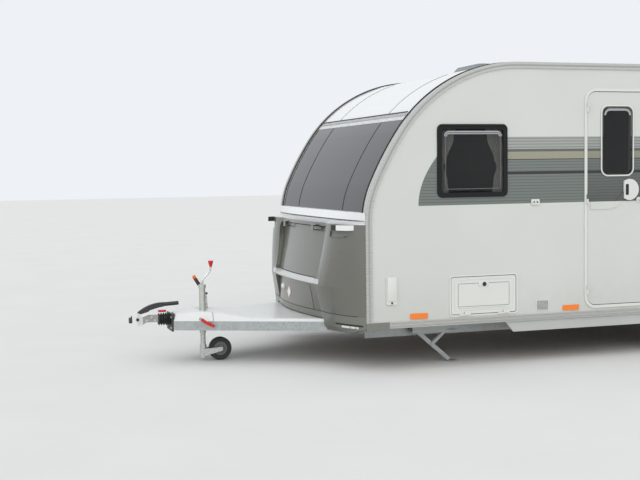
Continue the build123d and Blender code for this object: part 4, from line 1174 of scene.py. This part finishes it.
# %% [markdown]
# Small parts lie on curved mouldings, so their places come from the model itself: touch() sends
# a ray at a CAD node and returns the point and the outward direction where it lands. on_skin()
# does this for a whole line of points, which a strip can then follow.

# %% Finding the skin
trees = {}
ahead = front_line - 1.0        # rays at the front start here


def touch(node, start, direction):
    """The point and outward direction where a ray first meets a CAD node."""
    if node not in trees:
        mesh = nodes[node].data
        corners = [v.co.copy() for v in mesh.vertices]
        trees[node] = BVHTree.FromPolygons(corners, [tuple(f.vertices) for f in mesh.polygons])
    ray = Vector(direction).normalized()
    point, normal, _, _ = trees[node].ray_cast(Vector(start), ray)
    if point is None:
        raise ValueError(f"no skin of {node} at {tuple(round(c, 3) for c in start)}")
    return point, -normal if normal.dot(ray) > 0 else normal


def on_front(y, z):
    """The point and outward direction of the front panel at a y and z."""
    return touch("front_panel", (ahead, y, z), (1.0, 0.0, 0.0))


def on_skin(pairs, proud):
    """Points that stand proud of the front panel at (y, z) pairs."""
    return [point + normal * proud for point, normal in (on_front(y, z) for y, z in pairs)]


def spread(low, high, count):
    """Evenly spaced values from low to high."""
    return [low + (high - low) * i / (count - 1) for i in range(count)]


print("front skin at the middle", round(on_front(0.0, 0.6)[0].x, 3))

# %% [markdown]
# The front panel's joints: a seam each side of the middle panel below the lid, and a joint
# between the panel and the bumper. A bright lip runs under the lid.

# %% Front seams and lip
seam_y, seam_top = 0.496, 0.640
joint_z = max(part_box("front_bumper")[1].z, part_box("front_panel")[0].z) + 0.002
joint_half = 1.085
joint_proud = 0.0005
lip_low, lip_high, lip_half = 0.652, 0.691, 0.650
ahead_facing = (-1.0, 0.0, 0.0)

run = on_skin([(y, joint_z) for y in spread(-joint_half, joint_half, 61)], joint_proud)
strip.build("bumper_joint", run, gasket_black, "housing_black",
            Width=0.005, Height=0.003, Facing=ahead_facing)
for side, name in sides:
    run = on_skin([(side * seam_y, z) for z in spread(joint_z, seam_top, 14)], joint_proud)
    strip.build(f"panel_seam_{name}", run, gasket_black, "housing_black",
                Width=0.004, Height=0.003, Facing=ahead_facing)

on_lip = panel_silver.both(panel_silver.above(Z, lip_low), panel_silver.below(Z, lip_high))
on_lip = panel_silver.both(on_lip, panel_silver.math("LESS_THAN", panel_silver.from_middle(), lip_half))
repaint(panel_silver, on_lip, (196, 197, 194), 0.3, 0.3)
print("bumper joint at", round(joint_z, 3))

# %% [markdown]
# A round cap and a diamond sit on the middle panel. The diamond lies in the panel's slope: one
# of its axes runs level, and the other climbs with the skin.

# %% Front cap and diamond
cap_at, cap_out = on_front(0.282, 0.555)
dome = [(0.025 * cos(radians(a)), 0.006 + 0.018 * sin(radians(a))) for a in range(15, 90, 15)]
cap_profile = [(0.0, 0.0), (0.029, 0.0), (0.029, 0.004), (0.025, 0.006), *dome, (0.0, 0.024)]
Shape().lathe(cap_profile, cap_at, cap_out, 36).piece("front_round_cap", cap_white, "cap_white")

diamond_at, diamond_out = on_front(0.078, 0.524)
along = Vector((0.0, 0.0, 1.0)).cross(diamond_out).normalized()
upward = diamond_out.cross(along).normalized()


def diamond(half_wide, half_high, lift):
    """The four corners of a diamond, lifted off the panel."""
    corners = ((half_wide, 0.0), (0.0, half_high), (-half_wide, 0.0), (0.0, -half_high))
    return [diamond_at + along * a + upward * b + diamond_out * lift for a, b in corners]


plate = Shape().plate(diamond(0.068, 0.063, 0.0), diamond_out * 0.002)
plate.piece("blank_diamond", cap_white, "cap_white")
red_edge = finish("diamond_edge_red", (196, 42, 38), 0.35, grain=200.0, relief=0.0002, blotch=0.05)
strip.build("diamond_edge", diamond(0.062, 0.057, 0.0024), red_edge, "lamp_red",
            closed=True, Width=0.006, Height=0.0012, Facing=tuple(diamond_out))
print("cap at", [round(c, 3) for c in cap_at])

# %% [markdown]
# At each corner of the bumper a black strip paints the shade inside a recessed slot, over a pale
# bezel with two clear lenses. Both follow the bumper's curve, found by rays that come in from
# outside its corner.

# %% Front lamps
slot_plan = (
    (-0.185, 0.900), (-0.150, 0.960), (-0.118, 1.015), (-0.086, 1.062), (-0.052, 1.100), (-0.022, 1.130),
)
slot_z, light_z = 0.361, 0.344
front_lens = [(0.0, 0.0), (0.0085, 0.0), (0.0085, 0.003), (0.006, 0.005), (0.0, 0.006)]


def bumper_run(side, height, proud):
    """Points round the bumper's corner at one height, and the outward direction at each."""
    ray = Vector((0.25, -side * 0.30, 0.0))
    found = [touch("front_bumper", station(x, side * y, height) - ray, ray) for x, y in slot_plan]
    return [(at + out * proud, out) for at, out in found]


for side, name in sides:
    shade_slot_run = bumper_run(side, slot_z, 0.0006)
    light_run = bumper_run(side, light_z, 0.0010)
    facing = tuple(shade_slot_run[2][1])
    # A black strip in place of the recessed slot: painted shade.
    strip.build(f"lamp_slot_{name}", [at for at, _ in shade_slot_run], gasket_black, "housing_black",
                Width=0.014, Height=0.003, Facing=facing)
    strip.build(f"lamp_bezel_{name}", [at for at, _ in light_run[1:5]], plastic_white,
                "panel_silver", Width=0.016, Height=0.004, Facing=facing)
    for i in (2, 3):
        at = (light_run[i][0] + light_run[i + 1][0]) / 2
        out = (light_run[i][1] + light_run[i + 1][1]).normalized()
        lens = Shape().lathe(front_lens, at, out, 28)
        lens.piece(f"front_lens_{name}_{i - 1}", lens_clear, "lamp_red")
print("points round a corner:", len(slot_plan))

# %% [markdown]
# The service hatch has a sunk middle, a white tab with a black lock, and a drip rail at its foot.

# %% Hatch
vent_dark = finish("vent_dark", (92, 94, 90), 0.6, grain=160.0, relief=0.0005, blotch=0.1)
outward = (0.0, -1.0, 0.0)      # away from the entrance side
hatch_x0, hatch_x1, _, hatch_z1 = face_of("hatch_door")
panel_inset = 0.058
rail_end = 0.060
tab_x, tab_z = 0.990, 0.648
tab_lift = 0.0062


def wall_box(span, near, far):
    """Two corners of a box on the entrance side, from near to far off the skin."""
    x0, x1, z0, z1 = span
    return station(x0, skin - far, z0), station(x1, skin - near, z1)


panel = (hatch_x0 + panel_inset, hatch_x1 - panel_inset, 0.475, hatch_z1 - 0.052)
panel_loop = rounded_loop(panel, 0.0, 0.008, 3)
strip.build("hatch_panel_line", on_side(panel_loop, skin - 0.0026), vent_dark, "door_white", "hatch",
            closed=True, Width=0.0028, Height=0.0014)
tab_span = (tab_x - 0.044, tab_x + 0.044, tab_z - 0.020, tab_z + 0.030)
tab = Shape().box(*wall_box(tab_span, 0.0018, tab_lift), 0.002)
tab.piece("hatch_tab", plastic_white, "door_white", "hatch")
key_span = (tab_x + 0.0035, tab_x + 0.0085, tab_z - 0.011, tab_z + 0.011)
lock_at = station(tab_x + 0.006, skin - tab_lift, tab_z)
lock = Shape().lathe(button(0.017, 0.003, 0.013, 0.0048), lock_at, outward, 28)
lock.box(*wall_box(key_span, 0.0100, 0.0125), 0.0008)
lock.piece("hatch_lock", lock_black, "window_black", "hatch")
rail_span = (hatch_x0 + rail_end, hatch_x1 - rail_end, 0.462, 0.471)
rail = Shape().box(*wall_box(rail_span, 0.0018, 0.0058), 0.0012)
rail.piece("hatch_drip_rail", plastic_white, "door_white", "hatch")
print("hatch from", round(hatch_x0, 3), "to", round(hatch_x1, 3))

# %% [markdown]
# The square vent is a row of turned slats on a dark ground. The tall vent has a ridge and a knob,
# and an oval plate with two sockets catches the open door.

# %% Vents and catch
cover = Shape().box(*wall_box((0.172, 0.245, 0.548, 0.729), 0.0098, 0.0165), 0.003)
cover.piece("vent_cover_ridge", plastic_white, "door_white")
knob = Shape().lathe(button(0.008, 0.004, 0.005, 0.006), station(0.2085, skin - 0.0100, 0.534), outward, 24)
knob.piece("vent_cover_knob", lock_black, "window_black")

ground = Shape().box(*wall_box((1.464, 1.563, 0.416, 0.491), 0.0048, 0.0060), 0.0)
ground.piece("square_vent_ground", vent_dark, "housing_black")
slat_line = on_side(((1.5135, 0.421), (1.5135, 0.486)), skin - 0.0068)
row_of_blocks.build("square_vent_slats", slat_line, plastic_white, "door_white",
                    Count=8, Size=(0.096, 0.0022, 0.0042), Turn=(radians(28), 0.0, 0.0))

catch_x, catch_z = 1.449, 1.285
catch_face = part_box("wall_fittings")[0].y
socket = [(0.0, 0.0), (0.0065, 0.0), (0.0065, 0.002), (0.0, 0.002)]
turns = [2 * pi * i / 40 for i in range(40)]
oval = [(catch_x + 0.034 * cos(turn), catch_z + 0.020 * sin(turn)) for turn in turns]
catch = Shape().plate(on_side(oval, catch_face + 0.0004), (0.0, -0.004, 0.0))
catch.piece("door_catch_oval", plastic_white, "door_white")
dots = Shape()
for x in (catch_x - 0.015, catch_x + 0.013):
    dots.lathe(socket, station(x, catch_face - 0.0036, catch_z), outward, 20)
dots.piece("door_catch_sockets", lock_black, "window_black")
print("catch face", round(catch_face, 4))

# %% [markdown]
# The entrance door: a dark seal in the gap, a lock barrel in the disc under the handle, and a
# painted highlight along the bent top edge of its pane.

# %% Door seal, lock and pane
seal_gap = 0.002
bevel_inset, bevel_drop = 0.032, 0.085
leaf = face_of("door_leaf")
seal_loop = on_side(rounded_loop(leaf, -seal_gap, 0.05), skin - 0.0005)
strip.build("door_seal", seal_loop, gasket_black, "window_black",
            closed=True, Width=0.004, Height=0.004)
barrel_at, _ = touch("door_handle", station(2.405, skin - 0.2, 1.285), (0.0, 1.0, 0.0))
barrel = Shape().lathe(button(0.011, 0.0035, 0.008, 0.005), barrel_at, outward, 28)
barrel.piece("door_lock_barrel", zinc_bright, "handle_grey", "door")
# The door pane's top edge gets the same painted highlight strip.
pane_top = top_of(rounded_loop(door_glass, bevel_inset, 0.045), door_glass[3] - bevel_drop)
pane_at, _ = touch("door_window", station(2.2, skin - 0.2, 1.75), (0.0, 1.0, 0.0))
strip.build("door_pane_bevel", on_side(pane_top, pane_at.y - 0.0006), bevel_highlight, "window_black", "door",
            Width=0.018, Height=0.0018)
print("door leaf", round(leaf[0], 3), round(leaf[1], 3))

# %% [markdown]
# The rear lamps are moulded in level ribs. The rear plate stays blank under its two small lights.

# %% Lenses and plate at the rear
rib_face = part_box("rear_lamps")[1].x + 0.0005
rib_y = (0.915 + 1.075) / 2
for side, name in sides:
    rib_line = [(rib_face, side * rib_y, z) for z in (0.650, 1.150)]
    row_of_blocks.build(f"rear_lens_ribs_{name}", rib_line, lamp, "lamp_red",
                        Count=46, Size=(0.003, 0.150, 0.0035))
plate_half, plate_z0, plate_z1 = 0.255, 0.385, 0.476
light_y, light_half = 0.18, 0.035
rear_skin = touch("rear_bumper", (rear_line + 1.0, 0.0, 0.430), (-1.0, 0.0, 0.0))[0].x
plate_foot = (rear_skin - 0.0005, -plate_half, plate_z0)
number = Shape().box(plate_foot, (rear_skin + 0.0030, plate_half, plate_z1), 0.001)
number.piece("blank_number_plate", cap_white, "cap_white")
for side, name in sides:
    foot = (rear_skin + 0.0002, side * light_y - light_half, 0.4775)
    light = Shape().box(foot, (rear_skin + 0.0052, side * light_y + light_half, 0.4870), 0.001)
    light.piece(f"plate_light_{name}", lock_black, "housing_black")
print("rear skin", round(rear_skin, 4))

# %% [markdown]
# The studs group sets round screws along the sills, fore and aft of the wheels, and a bright
# strip trims each wheel arch.

# %% Sill screws and arch trims
arch_radius = 0.378
screw_pitch, screw_z = 0.19, 0.370
proud = 0.0008
sill_low, sill_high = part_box("side_sills")
sill_runs = [
    ("front", sill_low.x + 0.04, axle_x - arch_radius - 0.05),
    ("rear", axle_x + arch_radius + 0.05, sill_high.x - 0.04),
]
arch = [radians(a) for a in range(11, 171, 3)]
for side, name in sides:
    for part, x0, x1 in sill_runs:
        at, _ = touch("side_sills", ((x0 + x1) / 2, side * 1.5, screw_z), (0.0, -side, 0.0))
        line = [(x, at.y + side * proud, screw_z) for x in (x0, x1)]
        studs.build(f"sill_screws_{part}_{name}", line, zinc_bright, "trim_bright",
                    Count=round((x1 - x0) / screw_pitch), Radius=0.004, Height=0.0022,
                    Turn=(side * pi / -2, 0.0, 0.0), Corners=14)
    trim_y = side * (half_width + proud)
    arc = [(axle_x - arch_radius * cos(a), trim_y, axle_z + arch_radius * sin(a)) for a in arch]
    strip.build(f"arch_trim_{name}", arc, insert_grey, "trim_bright", Width=0.012, Height=0.006)
print("screw lines:", len(sides) * len(sill_runs))

# %% [markdown]
# Hexagonal bolt heads and a pin hold the coupling, each set on its cast skin by a ray. A small
# red indicator stands on top.

# %% Coupling bolts
neck_bolts = ((-1.495, 0.352), (-1.455, 0.378), (-1.425, 0.352))
nose_y = middle_of("coupling_head")[1]
for side, name in sides:
    out = (0.0, side, 0.0)
    at, _ = touch("coupling_head", station(-1.572, side * 0.30, 0.366), (0.0, -side, 0.0))
    pin = Shape().lathe(button(0.013, 0.0035, 0.008, 0.0045), at, out, 24)
    pin.piece(f"coupling_pin_{name}", lock_black, "housing_black")
    neck = Shape()
    for x, z in neck_bolts:
        at, _ = touch("coupling_head", station(x, side * 0.30, z), (0.0, -side, 0.0))
        neck.lathe(bolt_head, at, out, 6)
    neck.piece(f"neck_bolts_{name}", zinc_bright, "zinc")
indicator_half = 0.012
indicator_foot = station(-1.395, nose_y - indicator_half, 0.414)
indicator = Shape().box(indicator_foot, station(-1.330, nose_y + indicator_half, 0.432), 0.004)
indicator.piece("coupling_indicator", lever_red, "handle_grey")
print("coupling middle", round(nose_y, 4))

# %% [markdown]
# The jockey crank is made of round bars whose rounded ends meet in its elbows, with a flared
# knob on top. It takes the place of the plainer crank in the model.

# %% Crank with its knob
crank_y = middle_of("jockey_crank")[1]
crank_points = ((-1.036, 0.632), (-1.036, 0.664), (-0.967, 0.745), (-0.961, 0.778))
spindle, crank_foot, elbow, wrist = on_side(crank_points, crank_y)
knob_profile = [
    (0.0, -0.002), (0.010, -0.002), (0.0115, 0.006), (0.0150, 0.018), (0.0195, 0.032), (0.0215, 0.042),
    (0.0200, 0.048), (0.0140, 0.0505), (0.0, 0.051),
]


def round_bar(shape, start, end, radius):
    """A bar with rounded ends from start to end."""
    along = end - start
    foot = [(radius * sin(radians(a)), -radius * cos(radians(a))) for a in (0, 30, 60, 90)]
    tip = [(r, along.length - h) for r, h in reversed(foot)]
    shape.lathe(foot + tip, start, along, 20)


turned = Shape()
round_bar(turned, spindle + Vector((0.0, 0.0, 0.011)), crank_foot + Vector((0.0, 0.0, 0.004)), 0.011)
round_bar(turned, crank_foot, elbow, 0.008)
round_bar(turned, elbow, wrist, 0.008)
turned.lathe(knob_profile, wrist, (0.0, 0.0, 1.0), 36)
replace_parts(turned.piece("crank_and_knob", crank, "zinc", sharp=50.0), "jockey_crank")
print("crank top", round(wrist.z + knob_profile[-1][1], 3))

# %% [markdown]
# Rings run round the grip of the coupling's lever, which climbs a little towards the rear. Four
# bolts hold the flange of the overrun housing.

# %% Grip rings and flange bolts
grip_ring = [(0.0158, -0.002), (0.0172, -0.001), (0.0172, 0.001), (0.0158, 0.002)]
grip_slope, ring_pitch = 0.048, 0.0125
grip_rings = Shape()
for i in range(9):
    x = -1.342 + ring_pitch * i
    z = 0.478 + (x + 1.352) * grip_slope
    grip_rings.lathe(grip_ring, station(x, 0.0, z), (1.0, 0.0, grip_slope), 28)
grip_rings.piece("lever_grip_rings", grip_black, "grip_black")

flange_bolts = Shape()
flange_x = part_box("overrun_housing")[0].x
for y in (-0.085, 0.085):
    for z in (0.288, 0.378):
        flange_bolts.lathe(bolt_head, (flange_x, y, z), (-1.0, 0.0, 0.0), 6)
flange_bolts.piece("housing_flange_bolts", zinc_bright, "zinc")
print("housing face", round(flange_x, 3))

# %% [markdown]
# The studio: a plain pale floor and a soft sky. Light Path's rays let the sky look pale to the
# camera, in reflections and through glass, without adding light to the caravan.

# %% Floor and sky
floor_paint = Nodes("studio_floor")
floor_tone = floor_paint.mix(floor_paint.noise(1.2, 3.0), linear(208, 208, 206), linear(216, 216, 214))
floor_paint.dial(Base_Color=floor_tone, Roughness=0.9)
floor_half, floor_z = 60.0, -0.002
floor_corners = [(x * floor_half, y * floor_half, floor_z) for x, y in ((-1, -1), (1, -1), (1, 1), (-1, 1))]
floor_mesh = bpy.data.meshes.new("studio_floor")
floor_mesh.from_pydata(floor_corners, [], [(0, 1, 2, 3)])
floor_mesh.materials.append(floor_paint.material)
floor = bpy.data.objects.new("studio_floor", floor_mesh)
bpy.context.scene.collection.objects.link(floor)

world = bpy.data.worlds.new("studio_sky")
world.use_nodes = True
bpy.context.scene.world = world
sky = Tree(world.node_tree)
sky_light, sky_look = 0.62, 0.92        # the light that it gives, and how bright it looks
rays = sky.add("ShaderNodeLightPath").outputs
seen = sky.math("MAXIMUM", rays["Is Camera Ray"], rays["Is Transmission Ray"])
seen = sky.math("MAXIMUM", seen, rays["Is Glossy Ray"])
background = sky.tree.nodes["Background"].inputs
sky.join(sky.ramp(seen, (0.0, sky_light), (1.0, sky_look)), background["Strength"])
sky.join((0.93, 0.96, 1.0, 1.0), background["Color"])
print("sky nodes:", len(sky.tree.nodes))

# %% [markdown]
# Three suns as broad as a bank of cloud stand in for an overcast day, the strongest overhead. A
# sun has no place, only a direction, so it lights the floor evenly as far as the horizon.

# %% Lamps
suns = [  # name, direction, strength, how broad in radians
    ("sky_lamp", (0.15, 0.25, -1.0), 1.15, 1.9),
    ("front_lamp", (0.75, 0.55, -0.55), 0.75, 1.2),
    ("side_lamp", (-0.15, 1.0, -0.45), 0.65, 1.2),
]
for name, direction, strength, breadth in suns:
    data = bpy.data.lights.new(name, "SUN")
    data.energy = strength
    data.angle = breadth
    sun = bpy.data.objects.new(name, data)
    sun.rotation_euler = Vector(direction).to_track_quat("-Z", "Y").to_euler()
    bpy.context.scene.collection.objects.link(sun)
bpy.context.scene.view_settings.view_transform = "Standard"
print("suns:", len(suns))
